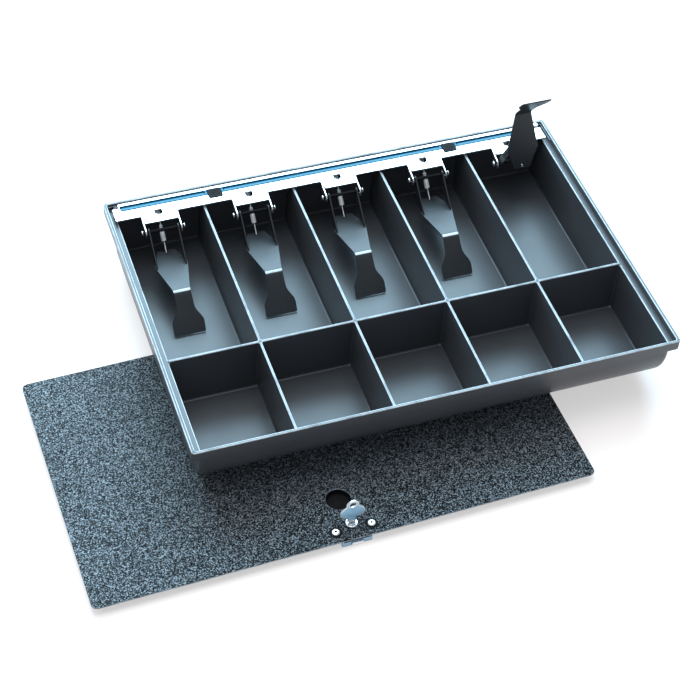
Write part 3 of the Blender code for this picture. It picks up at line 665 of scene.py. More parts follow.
def pocket(index, coins):
    """The space in one compartment, from above the rim to its floor."""
    left, right = slot_walls(index)
    left_top = LEDGE_Z if index == 0 else DIVIDER_TOP
    right_top = LEDGE_Z if index == SLOTS - 1 else DIVIDER_TOP
    levels = {2.0, -2.0}
    for top in {left_top, right_top, DIVIDER_TOP, DIVIDER_TOP if coins else SEAT_TOP}:
        levels.update(top_levels(top))
    if coins:
        centre_z = FLOOR_Z + SCOOP_R
        levels.update(centre_z - SCOOP_R * sin(radians(90 * i / 26)) for i in range(27))
    levels.update(FLOOR_Z + POCKET_FILLET * (1 - cos(radians(90 * i / 6))) for i in range(7))
    rings = []
    for z in sorted(levels, reverse=True):
        lean = draft_at(z) + floor_fillet(z)
        if coins:
            y0 = scoop_front(z) - flare(z, DIVIDER_TOP)
            y1 = CROSS_DIVIDER_Y - DIVIDER_HALF - lean + flare(z, DIVIDER_TOP)
        else:
            y0 = CROSS_DIVIDER_Y + DIVIDER_HALF + lean - flare(z, DIVIDER_TOP)
            y1 = BACK_WALL_Y - lean + flare(z, SEAT_TOP)
        outline = rounded_rect(left + lean - flare(z, left_top), right - lean + flare(z, right_top),
                               y0, y1, POCKET_CORNER + floor_fillet(z) * 0.4, 6)
        rings.append([(x, y, z) for x, y in outline])
    return loft(rings)


def tray_body():
    """The outside of the compartments, with its curved front and rounded base."""
    centre_z = FLOOR_Z + SCOOP_R
    radius = SCOOP_R + WALL
    levels = [-1.0] + [centre_z - radius * sin(radians(90 * i / 28)) for i in range(29)]
    rings = []
    for z in levels:
        low = max(0.0, BASE_ROUND - (z - BASE_Z)) / BASE_ROUND
        lean = draft_at(z) + BASE_ROUND * (1 - sqrt(max(0.0, 1 - low * low)))
        half = OUTER_WALL_X + WALL - lean
        outline = rounded_rect(-half, half, scoop_front(z, radius), BACK_WALL_Y + WALL - lean,
                               BODY_CORNER, 6)
        rings.append([(x, y, z) for x, y in outline])
    return loft(rings)


def rim_block():
    rings = []
    for inset, z in ((0.4, -SKIRT_H), (0.12, -SKIRT_H + 0.12), (0.0, -SKIRT_H + 0.4), (0.0, -LIP_ROUND)):
        rings.append((inset, z))
    for i in range(1, 5):
        turn = radians(90 * i / 4)
        rings.append((LIP_ROUND * (1 - cos(turn)), LIP_ROUND * (sin(turn) - 1)))
    return loft([[(x, y, z) for x, y in rounded_rect(-HALF_X + inset, HALF_X - inset, -HALF_Y + inset,
                                                     HALF_Y - inset, RIM_CORNER, 6)]
                 for inset, z in rings])


def rim_recess(front, back, top):
    """The space inside the lip above `top`, with the lip's rounded inner edge."""
    levels = [(-0.4, top), (-0.12, top + 0.12), (0.0, top + 0.4), (0.0, -LIP_ROUND)]
    for i in range(1, 5):
        turn = radians(90 * i / 4)
        levels.append((LIP_ROUND * (1 - cos(turn)), LIP_ROUND * (sin(turn) - 1)))
    levels.append((LIP_ROUND, 3.0))
    half = HALF_X - LIP_SIDE
    return loft([[(x, y, z) for x, y in rounded_rect(-half - out, half + out, front - out, back + out,
                                                     1.6, 4)]
                 for out, z in levels])


def foot_ring():
    x1 = OUTER_WALL_X - FOOT_INSET
    y0 = scoop_front(FLOOR_Z)
    y1 = BACK_WALL_Y - FOOT_INSET
    w = FOOT_W
    outer = rounded_rect(-x1, x1, y0, y1, BODY_CORNER)
    inner = rounded_rect(-x1 + w, x1 - w, y0 + w, y1 - w, BODY_CORNER - w)
    bm = bmesh.new()
    loops = []
    for outline, z in ((outer, BASE_Z + 1.0), (outer, -TRAY_H), (inner, -TRAY_H), (inner, BASE_Z + 1.0)):
        loops.append([bm.verts.new((x, y, z)) for x, y in outline])
    for a, b in zip(loops, loops[1:] + loops[:1]):
        for i in range(len(outer)):
            j = (i + 1) % len(outer)
            bm.faces.new((a[i], a[j], b[j], b[i]))
    return bm


def build_tray(mat, ridge_highlight_mat):
    tray = mesh_object("tray_shell", rim_block())
    undercuts = []
    for side in (-1, 1):
        near, far = sorted((side * (OUTER_WALL_X + WALL), side * (HALF_X - SKIRT_T)))
        undercuts.append(sheet(rect(near, far, -HALF_Y + 6, HALF_Y - 6), -SKIRT_H - 1.0, -SKIRT_H + 1.5, 0.2))
    boolean(tray, join(undercuts))
    boolean(tray, tray_body(), "UNION")
    boolean(tray, foot_ring(), "UNION")
    boolean(tray, rim_recess(-HALF_Y + LIP_FRONT, SEAT_Y, DIVIDER_TOP))
    boolean(tray, rim_recess(SEAT_Y - 4.0, HALF_Y - LIP_BACK, SEAT_TOP))
    channels = []
    for side in (-1, 1):
        near, far = sorted((side * (OUTER_WALL_X - 0.2), side * (HALF_X - LIP_SIDE)))
        channels.append(loft([[(x, y, z) for x, y in rounded_rect(near, far, -HALF_Y + LIP_FRONT,
                                                                 HALF_Y - LIP_BACK, 1.2, 3)]
                              for z in (LEDGE_Z, DIVIDER_TOP + 1.2)]))
    boolean(tray, join(channels))
    boolean(tray, join([pocket(i, False) for i in range(SLOTS)]))
    boolean(tray, join([pocket(i, True) for i in range(SLOTS)]))
    finish_piece(tray, TO_TRAY, mat, "tray", ["tray"])
    # Painted highlight: the small rounded faces near the rim top, the ledges and the divider tops get the
    # pale shiny material.
    lowest = TRAY_ORIGIN.z + (LEDGE_Z - 1.0) * MM
    paint(tray, ridge_highlight_mat, lambda centre, normal: centre.z > lowest and 0.15 < normal.z < 0.985)


# ---------------------------------------------------------------- hold-down bar

def bar_outline():
    back = HALF_Y - LIP_BACK - BAR_BACK_GAP
    outer = EAR_IN + EAR_T
    points = arc(-BAR_HALF + 1.0, BAR_FRONT_Y + 1.0, 1.0, 180, 270, 3)
    for i in range(SLOTS):
        x = slot_x(i)
        points += [(x - outer, BAR_FRONT_Y), (x - outer, EAR_ROOT_Y), (x - TAB_HALF, EAR_ROOT_Y)]
        points += arc(x - TAB_HALF + 1.5, TAB_FRONT_Y + 1.5, 1.5, 180, 270, 4)
        points += arc(x + TAB_HALF - 1.5, TAB_FRONT_Y + 1.5, 1.5, 270, 360, 4)
        points += [(x + TAB_HALF, EAR_ROOT_Y), (x + outer, EAR_ROOT_Y), (x + outer, BAR_FRONT_Y)]
    points += arc(BAR_HALF - 1.0, BAR_FRONT_Y + 1.0, 1.0, 270, 360, 3)
    points += [(BAR_HALF, BAR_NOTCH_Y), (BAR_NOTCH_X, BAR_NOTCH_Y), (BAR_NOTCH_X, back),
               (-BAR_NOTCH_X, back), (-BAR_NOTCH_X, BAR_NOTCH_Y), (-BAR_HALF, BAR_NOTCH_Y)]
    return points


def ear_outline():
    lug = arc(PIVOT_Y, PIVOT_Z, EAR_LUG_R, 115, 335, 20)
    return lug + [(EAR_ROOT_Y + 1.2, BAR_BOTTOM - 1.2), (EAR_ROOT_Y + 1.2, BAR_TOP - 0.4),
                  (EAR_ROOT_Y - 0.8, BAR_TOP - 0.4), (EAR_ROOT_Y - 2.2, BAR_TOP - 1.0)]


def tongue_outline():
    """The tongue pressed down at the back of its hole and bent forward for the spring."""
    tip_y = ANCHOR[0] + 0.9
    tip_z = ANCHOR[1] + 1.2
    bend_y = HOLE_Y1 - 0.3
    return [(HOLE_Y1 + 1.1, BAR_TOP - 0.5), (HOLE_Y1 - 0.2, BAR_TOP - 0.7), (bend_y, tip_z + 2.6),
            (bend_y - 0.4, tip_z + 1.6), (bend_y - 1.3, tip_z + 0.9), (tip_y, tip_z + 0.7),
            (tip_y, tip_z - 0.3), (bend_y - 0.7, tip_z - 0.2), (bend_y + 0.5, tip_z + 0.6),
            (HOLE_Y1 + 0.8, tip_z + 2.0), (HOLE_Y1 + 1.1, BAR_BOTTOM - 0.7)]


def bead(x0, x1):
    """A long pressed groove with a soft cross-section and round ends."""
    profile = [(0.9, 1.0), (0.45, 0.0), (0.1, -0.12), (-0.35, -0.55), (-0.75, -0.85), (-1.2, -0.95)]
    rings = []
    for out, z in profile:
        half = BEAD_HALF + out
        outline = (arc(x1 - BEAD_HALF, BEAD_Y, half, -90, 90, 12)
                   + arc(x0 + BEAD_HALF, BEAD_Y, half, 90, 270, 12))
        rings.append([(x, y, BAR_TOP + z) for x, y in outline])
    return loft(rings)


def build_bar(mat):
    bar = mesh_object("bar_strip", sheet(bar_outline(), BAR_BOTTOM, BAR_TOP, 0.3))
    ears = [sorted((slot_x(i) + side * EAR_IN, slot_x(i) + side * (EAR_IN + EAR_T)))
            for i in range(SLOTS) for side in (-1, 1)]
    boolean(bar, join([sheet(ear_outline(), near, far, 0.25, across_x) for near, far in ears]), "UNION")
    eye = circle(PIVOT_Y, PIVOT_Z, PIN_HOLE_R, 24)
    boolean(bar, join([hole(eye, near, far, 0.2, across_x) for near, far in ears]))
    windows = []
    for side in (-1, 1):
        outline = rounded_rect(side * CLIP_X - CLIP_HALF_X, side * CLIP_X + CLIP_HALF_X, CLIP_Y0, CLIP_Y1,
                               2.0, 5)
        windows.append(hole(outline, BAR_BOTTOM, BAR_TOP, 0.25))
    for i in range(SLOTS):
        x = slot_x(i)
        outline = ([(x + HOLE_HALF, HOLE_Y1), (x - HOLE_HALF, HOLE_Y1)]
                   + arc(x, HOLE_Y0 + HOLE_HALF, HOLE_HALF, 180, 360, 14))
        windows.append(hole(outline, BAR_BOTTOM, BAR_TOP, 0.25))
    boolean(bar, join(windows))
    tongues = [sheet(tongue_outline(), slot_x(i) - 2.2, slot_x(i) + 2.2, 0.2, across_x)
               for i in range(SLOTS)]
    boolean(bar, join(tongues), "UNION")
    ends = CLIP_X - CLIP_HALF_X - 1.7
    outer = CLIP_X + CLIP_HALF_X + 1.7
    boolean(bar, join([bead(-BEAD_END, -outer), bead(-ends, ends), bead(outer, BEAD_END)]))
    finish_piece(bar, TO_TRAY, mat, "tray", ["hold_down_bar"])


def build_clip(name, x, mat):
    """A snap block: top with rounded edges and three grooves, and a barb under the bar."""
    g = GAP
    outline = rounded_rect(x - CLIP_HALF_X + g, x + CLIP_HALF_X - g, CLIP_Y0 + g, CLIP_Y1 - g, 1.7, 6)
    clip = mesh_object(name, sheet(outline, BAR_BOTTOM - 3.0, BAR_TOP + 0.5, 0.45))
    grooves = []
    for k in (-1, 0, 1):
        y = (CLIP_Y0 + CLIP_Y1) / 2 + 2.4 * k
        grooves.append(sheet(rect(x - 3.8, x + 3.8, y - 0.3, y + 0.3), BAR_TOP + 0.25, BAR_TOP + 1.0, 0.05))
    boolean(clip, join(grooves))
    barb = sheet(rect(x - 4.5, x + 4.5, CLIP_Y0 - 1.0, CLIP_Y1 - 3.0), BAR_BOTTOM - 3.0, BAR_BOTTOM - g, 0.3)
    boolean(clip, barb, "UNION")
    finish_piece(clip, TO_TRAY, mat, "tray", [f"bar_{name}"])


def build_screw(mat):
    """A pan head with a cross recess."""
    low, high = (Vector(corner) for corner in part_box("bar_screw"))
    centre = TO_TRAY.inverted() @ ((low + high) / 2)
    top = (TO_TRAY.inverted() @ high).z
    bottom = (TO_TRAY.inverted() @ low).z
    r = (high.x - low.x) / 2 / MM
    seat = SEAT_TOP + GAP
    profile = [(0.7, bottom), (1.4, bottom + 0.9), (1.5, seat - 0.1), (r - 0.15, seat), (r, seat + 0.15),
               (r, top - 1.3), (r * 0.96, top - 0.9), (r * 0.84, top - 0.5), (r * 0.62, top - 0.2),
               (r * 0.34, top - 0.04)]
    screw = mesh_object("screw", turned(profile, 48, centre.x, centre.y))
    for across, along in ((0.28, 1.5), (1.5, 0.28)):
        cross = rect(centre.x - across, centre.x + across, centre.y - along, centre.y + along)
        boolean(screw, sheet(cross, top - 1.3, top + 1.0, 0.08))
    finish_piece(screw, TO_TRAY, mat, "tray", ["bar_screw"])


# ---------------------------------------------------------------- note holders

def holder_place(index):
    """Where a holder drawn lowered in the middle slot goes."""
    turn = ABOUT_PIVOT if index == RAISED_SLOT else Matrix.Identity(4)
    return TO_TRAY @ Matrix.Translation((slot_x(index), 0.0, 0.0)) @ turn


def strip_stations():
    """(y, z, half width) along the middle of the arm's plate, bend and paddle."""
    widths = [(102.4, 7.2), (102.0, 7.8), (101.0, 8.3), (88.0, 12.6), (86.0, 13.15), (85.2, 13.9),
              (84.2, 14.3), (82.4, 14.3), (81.0, 14.0), (52.0, 7.85)]
    plate = [(y, -30.0 + (102.4 - y) * 0.0715, half) for y, half in widths]
    bend = [(50.4, -26.3, 7.55), (49.5, -26.45, 7.4), (48.7, -26.8, 7.34), (48.0, -27.35, 7.32),
            (47.3, -28.0, 7.3), (46.4, -28.95, 7.3)]
    neck = [(43.0, -32.6, 7.45), (39.8, -36.1, 7.75), (38.2, -37.9, 8.3), (36.8, -39.4, 9.3),
            (35.2, -41.2, 10.7), (33.6, -42.9, 12.1), (32.4, -44.3, 13.0), (31.4, -45.4, 13.45),
            (30.4, -46.5, 13.6)]
    tip = [(26.0, -51.5, 13.6), (24.9, -52.75, 13.3), (24.6, -53.1, 12.9)]
    return plate + bend + neck + tip


def strip_ring(y, z, half, slope, thick):
    """A cross-section of the strip: a flat bar with rounded edges, standing on the path."""
    edge = 0.38 * thick / SHEET
    ring = []
    for x, h in rounded_rect(-half, half, 0.0, thick, edge, 3):
        ring.append((x, y - sin(slope) * h, z + cos(slope) * h))
    return ring


def rail_outline():
    lug = arc(PIVOT_Y, PIVOT_Z, LUG_R, -60, 121, 18)
    return lug + [(83.8, -23.4), (81.9, -24.7), (80.6, -26.1), (80.3, -27.2), (81.6, -28.0), (88.5, -28.5)]


def arm_mesh():
    stations = strip_stations()
    rings = []
    for i, (y, z, half) in enumerate(stations):
        before = stations[max(i - 1, 0)]
        after = stations[min(i + 1, len(stations) - 1)]
        slope = atan2(before[1] - after[1], before[0] - after[0])
        rings.append(strip_ring(y, z, half, slope, SHEET))
    arm = mesh_object("arm", loft(rings))
    rails = [sheet(rail_outline(), -RAIL_OUT, -RAIL_OUT + SHEET, 0.3, across_x),
             sheet(rail_outline(), RAIL_OUT - SHEET, RAIL_OUT, 0.3, across_x)]
    boolean(arm, join(rails), "UNION")
    holes = [hole(circle(PIVOT_Y, PIVOT_Z, PIN_HOLE_R, 24), side * (RAIL_OUT - SHEET / 2) - SHEET / 2,
                  side * (RAIL_OUT - SHEET / 2) + SHEET / 2, 0.2, across_x) for side in (-1, 1)]
    boolean(arm, join(holes))
    boolean(arm, turned([(1.4, HOOK[1] - 3.0), (1.4, HOOK[1] + 3.0)], 24, 0.0, HOOK[0]))
    return arm


def build_holders(mat, ridge_highlight_mat):
    master = arm_mesh()
    for i in range(SLOTS):
        arm = bpy.data.objects.new(f"arm_{i + 1}", master.data.copy())
        bpy.context.collection.objects.link(arm)
        finish_piece(arm, holder_place(i), mat, f"holder_{i + 1}", [f"note_holder_{i + 1}"])
        to_local = holder_place(i).inverted()
        # Painted highlight: the upward faces across each arm's bend get the pale shiny material.
        paint(arm, ridge_highlight_mat, lambda centre, normal: (
            BEND_CREST[0] < (to_local @ centre).y < BEND_CREST[1] and normal.z > 0.3))
    bpy.data.objects.remove(master, do_unlink=True)


def build_pins(mat, head_mat):
    for i in range(SLOTS):
        profile = [(1.2, -PIN_HALF), (1.8, -PIN_HALF + 0.2), (2.1, -PIN_HALF + 0.6), (2.1, -PIN_HALF + 1.1),
                   (1.5, -PIN_HALF + 1.35), (PIN_R, PIN_HALF - 1.35), (2.1, PIN_HALF - 1.1),
                   (2.1, PIN_HALF - 0.6), (1.8, PIN_HALF - 0.2), (1.2, PIN_HALF)]
        rings = [[(slot_x(i) + x, y, z) for y, z in circle(PIVOT_Y, PIVOT_Z, radius, 28)]
                 for radius, x in profile]
        pin = mesh_object(f"pin_{i + 1}", loft(rings))
        finish_piece(pin, TO_TRAY, mat, "tray", [f"pivot_pin_{i + 1}"])
        middle = TRAY_ORIGIN.x + slot_x(i) * MM
        paint(pin, head_mat, lambda centre, normal: abs(centre.x - middle) > PIN_HEAD_FROM * MM)


def spring_points(start, end):
    """The wire's path: a hook over the tongue, close turns, then a straight leg to the arm."""
    along = (end - start).normalized()
    side = Vector((1.0, 0.0, 0.0))
    up = along.cross(side)
    length = (end - start).length
    first, full, last = (length * share for share in COIL_SPAN)
    points = [start + along * -0.1 + up * 1.3, start + along * -0.5 + up * 0.6, start - along * 0.1,
              start + along * (first * 0.6)]
    steps = COIL_TURNS * 14
    for k in range(steps + 1):
        turn = 2 * pi * COIL_TURNS * k / steps
        reached = (last - first) * k / steps / (full - first)
        grow = min(1.0, k / 8, (steps - k) / 8)
        radius = max(0.05, grow) * (COIL_START_R + (COIL_R - COIL_START_R) * min(1.0, reached))
        points.append(start + along * (first + (last - first) * k / steps)
                      + side * (radius * cos(turn)) + up * (radius * sin(turn)))
    points += [start + along * (last + (length - last) * t) for t in (0.15, 0.4, 0.7, 0.93)]
    points += [end + along * 0.25 - up * 0.15]
    return points


def build_springs(mat):
    for i in range(SLOTS):
        start = Vector((slot_x(i), *ANCHOR))
        end = Vector((slot_x(i), *HOOK))
        if i == RAISED_SLOT:
            end = Matrix.Translation((slot_x(i), 0, 0)) @ ABOUT_PIVOT @ Vector((0.0, *HOOK))
        spring = mesh_object(f"spring_wire_{i + 1}", tube(spring_points(start, end), WIRE_R, 8))
        finish_piece(spring, TO_TRAY, mat, None, [f"spring_{i + 1}"], sharp=60.0)
        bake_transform(spring)


# ---------------------------------------------------------------- cover and lock

def front_y(inset):
    return -COVER_D / 2 + inset


def hook_rivet_places():
    return [(x, COVER_D / 2 - inset) for x in HOOK_X for inset in HOOK_RIVET_INSETS]


def build_cover(mat, edge_highlight_mat):
    outline = rounded_rect(-COVER_W / 2, COVER_W / 2, -COVER_D / 2, COVER_D / 2, COVER_CORNER, 8)
    plate = mesh_object("cover_sheet", sheet(outline, 0.0, COVER_T, 0.4))
    cuts = [hole(circle(FINGER_X, front_y(FINGER_INSET), FINGER_R, 64), 0.0, COVER_T, 0.35),
            hole(circle(LOCK_X, front_y(LOCK_INSET), BARREL_R + GAP, 48), 0.0, COVER_T, 0.2)]
    for side in (-1, 1):
        x = LOCK_X + side * RIVET_HALF_SPAN
        cuts.append(turned([(RIVET_HOLE_R, -0.5), (RIVET_HOLE_R, COVER_T + 0.5)], 24, x,
                           front_y(RIVET_INSET)))
    cuts += [hole(circle(x, y, 1.9, 24), 0.0, COVER_T, 0.1) for x, y in hook_rivet_places()]
    boolean(plate, join(cuts))
    finish_piece(plate, TO_COVER, mat, "cover", ["cover_plate"])
    # Painted highlight: the sheet's edge faces and hole walls get the pale edge material.
    paint(plate, edge_highlight_mat, lambda centre, normal: abs(normal.z) < 0.85)


def build_finger_cup(mat):
    """A black dish under the finger hole, which keeps the hole dark."""
    t = FINGER_CUP_T
    low = -STANDOFF + GAP
    r = FINGER_R
    flange = r + FINGER_CUP_FLANGE
    profile = [(r - 1.2, low), (r - 0.4, low + 0.15), (r + 0.3, low + 0.6), (r + t, low + 1.6),
               (r + t, -GAP - t), (flange - 0.2, -GAP - t), (flange, -GAP - t + 0.2), (flange, -GAP - 0.2),
               (flange - 0.2, -GAP), (r + 0.1, -GAP), (r, -GAP - 0.15), (r, low + 2.0),
               (r - 0.4, low + t + 0.5), (r - 1.2, low + t), (0.5, low + t - 0.1)]
    cup = mesh_object("finger_dish", turned(profile, 64, FINGER_X, front_y(FINGER_INSET)))
    finish_piece(cup, TO_COVER, mat, "cover", ["finger_cup"])


def build_washers(mat):
    """Dished washers under the heads of the lock's rivets, black as painted shade: the dark ring round each
    head.
    """
    t = COVER_T
    for side, name in ((-1, "left"), (1, "right")):
        profile = [(RIVET_HOLE_R, t + 0.15), (WASHER_R - 0.1, t + 0.15), (WASHER_R, t + 0.22),
                   (WASHER_R - 0.05, t + 0.4), (WASHER_R - 0.25, t + 0.45), (WASHER_R - 0.7, t + 0.36),
                   (3.4, t + 0.3), (1.7, t + 0.3), (RIVET_HOLE_R, t + 0.25)]
        x = LOCK_X + side * RIVET_HALF_SPAN
        washer = mesh_object(f"washer_{name}", turned_ring(profile, 56, x, front_y(RIVET_INSET)))
        finish_piece(washer, TO_COVER, mat, "cover", [f"lock_washer_{name}"])


def build_lock_case(mat):
    back = front_y(CASE_BACK)
    front = front_y(CASE_FRONT)
    wall = 1.0
    half = 12.4
    wing = 18.4
    x = LOCK_X
    box_outline = rounded_rect(x - half, x + half, front, back, 1.2, 4)
    case = mesh_object("lock_box", sheet(box_outline, -STANDOFF, -GAP, 0.35))
    flange = rounded_rect(x - wing, x + wing, front_y(5.2), front_y(14.8), 2.5, 5)
    boolean(case, sheet(flange, -GAP - wall, -GAP, 0.15), "UNION")
    inner = rounded_rect(x - half + wall, x + half - wall, front + wall, back - wall, 0.6, 3)
    boolean(case, loft([[(u, v, z) for u, v in inner] for z in (-STANDOFF + wall, 2.0)]))
    mouth = rect(x - half + wall, x + half - wall, front - 2.0, front + wall + 0.6)
    boolean(case, sheet(mouth, CASE_FRONT_TOP, 1.0, 0.2))
    slot_outline = rounded_rect(x - BOLT_HALF - GAP, x + BOLT_HALF + GAP, BOLT_LOW - GAP, BOLT_TOP + GAP,
                                0.4, 3)
    boolean(case, hole(slot_outline, front, front + wall, 0.15, across_y))
    rivets = [hole(circle(x + side * RIVET_HALF_SPAN, front_y(RIVET_INSET), RIVET_HOLE_R, 24), -GAP - wall,
                   -GAP, 0.1) for side in (-1, 1)]
    boolean(case, join(rivets))
    finish_piece(case, TO_COVER, mat, "cover", ["lock_case"])


def build_lock_barrel(housing_mat, plug_mat, zinc):
    x = LOCK_X
    y = front_y(LOCK_INSET)
    t = COVER_T
    r = BEZEL_R
    profile = [(BARREL_R, -1.8), (BARREL_R, t + GAP), (r - 0.15, t + GAP), (r, t + GAP + 0.15), (r, t + 0.9),
               (r - 0.08, t + 1.25), (r - 0.3, t + 1.55), (r - 0.6, t + 1.72), (r - 0.9, t + 1.8)]
    housing = mesh_object("lock_bezel", turned(profile, 56, x, y))
    boolean(housing, hole(circle(x, y, PLUG_R + GAP, 56), -1.8, t + 1.8, 0.2, reach=1.0))
    finish_piece(housing, TO_COVER, housing_mat, "cover", ["lock_housing"])
    top = t + 1.8
    plug = mesh_object("plug", turned([(PLUG_R - 0.1, -1.8), (PLUG_R, -1.6), (PLUG_R, top - 0.35),
                                       (PLUG_R - 0.1, top - 0.1), (PLUG_R - 0.3, top)], 48, x, y))
    keyway = rounded_rect(x - BLADE_HALF - GAP, x + BLADE_HALF + GAP, y - 0.95, y + 0.95, 0.3, 3)
    boolean(plug, loft([[(u, v, z) for u, v in offset(keyway, out)]
                        for out, z in ((0.0, -1.2), (0.0, top - 0.2), (0.2, top), (0.2, top + 1.0))]))
    finish_piece(plug, TO_COVER, plug_mat, "lock_plug", ["lock_plug"])
    cam = mesh_object("cam", turned([(5.9, -2.6), (6.0, -2.5), (6.0, -2.2), (5.9, -2.1)], 48, x, y))
    boolean(cam, turned([(0.9, -4.9), (1.0, -4.8), (1.0, -2.3)], 24, x + 4.5, y), "UNION")
    finish_piece(cam, TO_COVER, zinc, "lock_plug", ["lock_cam"])


def build_bolt(mat):
    x = LOCK_X
    y = front_y(LOCK_INSET)
    shoulder = y - 6.4
    nose = front_y(BOLT_NOSE)
    h = BOLT_HALF
    outline = [(x - h, nose), (x + h, nose), (x + h, shoulder), (x + 9.0, shoulder + 2.0),
               (x + 9.0, y + 4.0), (x - 9.0, y + 4.0), (x - 9.0, shoulder + 2.0), (x - h, shoulder)]
    bolt = mesh_object("bolt", sheet(outline, BOLT_LOW, BOLT_TOP, 0.35))
    window = rounded_rect(x - 1.7, x + 6.3, y - 2.4, y + 2.4, 0.4, 3)
    boolean(bolt, hole(window, BOLT_LOW, BOLT_TOP, 0.1))
    finish_piece(bolt, TO_COVER, mat, "bolt", ["lock_bolt"])


def key_outline():
    x = LOCK_X
    z = COVER_T
    b = BLADE_HALF
    return (
        [(x - b, -0.8), (x + b, -0.8), (x + b, z + 3.2), (x + 3.3, z + 3.5), (x + 3.6, z + 3.9),
         (x + 3.6, z + 8.0)]
        + arc(x + 4.4, z + 14.3, 5.8, -72, 60, 18)
        + arc(x, z + 22.8, 5.2, -20, 200, 28)
        + arc(x - 4.4, z + 14.3, 5.8, 120, 252, 18)
        + [(x - 3.6, z + 8.0), (x - 3.6, z + 3.9), (x - 3.3, z + 3.5), (x - b, z + 3.2)]
    )


def build_key(mat, edge_highlight_mat):
    x = LOCK_X
    y = front_y(LOCK_INSET)
    z = COVER_T
    key = mesh_object("key_body", sheet(key_outline(), y - 0.9 + 0.25, y + 0.9 - 0.25, 0.25, across_y))
    boolean(key, hole(circle(x, z + 23.1, 2.6, 40), y - 0.65, y + 0.65, 0.3, across_y))
    groove = sheet(rect(x - 0.45, x + 0.25, -1.2, z + 3.0), y - 0.65 - 0.5, y - 0.65 + 0.3, 0.05, across_y)
    boolean(key, groove)
    panel = ([(x - 2.8, z + 8.6), (x - 2.8, z + 4.6), (x + 2.8, z + 4.6), (x + 2.8, z + 8.6)]
             + arc(x + 4.4, z + 14.3, 5.0, -72, 60, 16)
             + arc(x, z + 22.8, 4.4, -20, 200, 26)
             + arc(x - 4.4, z + 14.3, 5.0, 120, 252, 16))
    for side in (-1, 1):
        near, far = sorted((y + side * 0.5, y + side * 1.2))
        sunk = mesh_object("sunk_panel", sheet(panel, near, far, 0.02, across_y))
        boolean(sunk, sheet(circle(x, z + 23.1, 3.4, 40), near - 0.5, far + 0.5, 0.02, across_y))
        boolean(key, bmesh_of(sunk))
        bpy.data.objects.remove(sunk, do_unlink=True)
    finish_piece(key, TO_COVER, mat, "key", ["key"])
    to_local = TO_COVER.inverted()
    # Painted highlight: the raised border and the side faces of the key get bright steel, where the rims
    # catch the light.
    paint(key, edge_highlight_mat, lambda centre, normal: abs((to_local @ centre).y - y) > 0.52 or abs(normal.y) < 0.3)


def build_rivets(mat, hollow_shade_mat):
    t = COVER_T
    for side, name in ((-1, "left"), (1, "right")):
        x = LOCK_X + side * RIVET_HALF_SPAN
        y = front_y(RIVET_INSET)
        under = -GAP - 1.0 - GAP
        seat = t + 0.6
        profile = [(0.9, under - 1.0), (1.6, under - 0.85), (1.85, under - 0.55), (1.85, under), (1.2, under),
                   (1.2, seat), (3.1, seat), (3.3, seat + 0.15), (3.25, seat + 0.45), (3.0, seat + 0.75),
                   (2.5, seat + 1.0), (1.9, seat + 1.12), (1.2, seat + 1.14), (1.0, seat + 1.05),
                   (0.9, seat + 0.4)]
        rivet = mesh_object(f"rivet_{name}", turned(profile, 40, x, y))
        finish_piece(rivet, TO_COVER, mat, "cover", [f"lock_rivet_{name}"])
        axis = TO_COVER @ Vector((x, y, 0.0))
        # Painted shade: the faces inside each head's hollow get the black plastic material.
        paint(rivet, hollow_shade_mat, lambda centre, normal: (
            (centre - axis).xy.length < RIVET_HOLLOW_R * MM and centre.z > axis.z))
    for number, (x, y) in enumerate(hook_rivet_places(), 1):
        under = -GAP - 1.5 - GAP
        profile = [(1.0, under - 0.9), (1.9, under - 0.75), (2.6, under - 0.45), (2.9, under - 0.1),
                   (2.9, under), (1.55, under), (1.55, t - 0.25), (1.4, t - 0.1)]
        rivet = mesh_object(f"strap_rivet_{number}", turned(profile, 32, x, y))
        finish_piece(rivet, TO_COVER, mat, "cover", [f"hook_rivet_{number}"])


def build_hooks(mat):
    back = COVER_D / 2
    top = -GAP
    low = -STANDOFF
    t = 1.5
    rest = back - HOOK_RIVET_INSETS[0] + 12.0
    start = back - HOOK_RIVET_INSETS[1] - 6.0
    path = [(start, top - t), (rest - 7.0, top - t), (rest - 6.0, top - t - 0.15),
            (rest - 5.2, top - t - 0.7),
            (rest - 0.9, low + 0.7), (rest + 0.1, low + 0.15), (rest + 1.2, low),
            (back + HOOK_TIP - 2.6, low),
            (back + HOOK_TIP - 1.2, low + 0.12), (back + HOOK_TIP, low + 0.5)]
    for x, name in zip(HOOK_X, ("left", "right")):
        rings = []
        for i, (y, z) in enumerate(path):
            before = path[max(i - 1, 0)]
            after = path[min(i + 1, len(path) - 1)]
            slope = atan2(after[1] - before[1], after[0] - before[0])
            thick = t * (0.55 if i == len(path) - 1 else 1.0)
            ring = []
            for across, h in rounded_rect(-HOOK_HALF, HOOK_HALF, 0.0, thick, 0.35, 3):
                ring.append((x + across, y - sin(slope) * h, z + cos(slope) * h))
            rings.append(ring)
        hook = mesh_object(f"strap_{name}", loft(rings))
        cuts = [hole(circle(hx, hy, 1.9, 24), top - t, top, 0.1) for hx, hy in hook_rivet_places() if hx == x]
        boolean(hook, join(cuts))
        finish_piece(hook, TO_COVER, mat, "cover", [f"rear_hook_{name}"])


# ---------------------------------------------------------------- stage, lights, camera

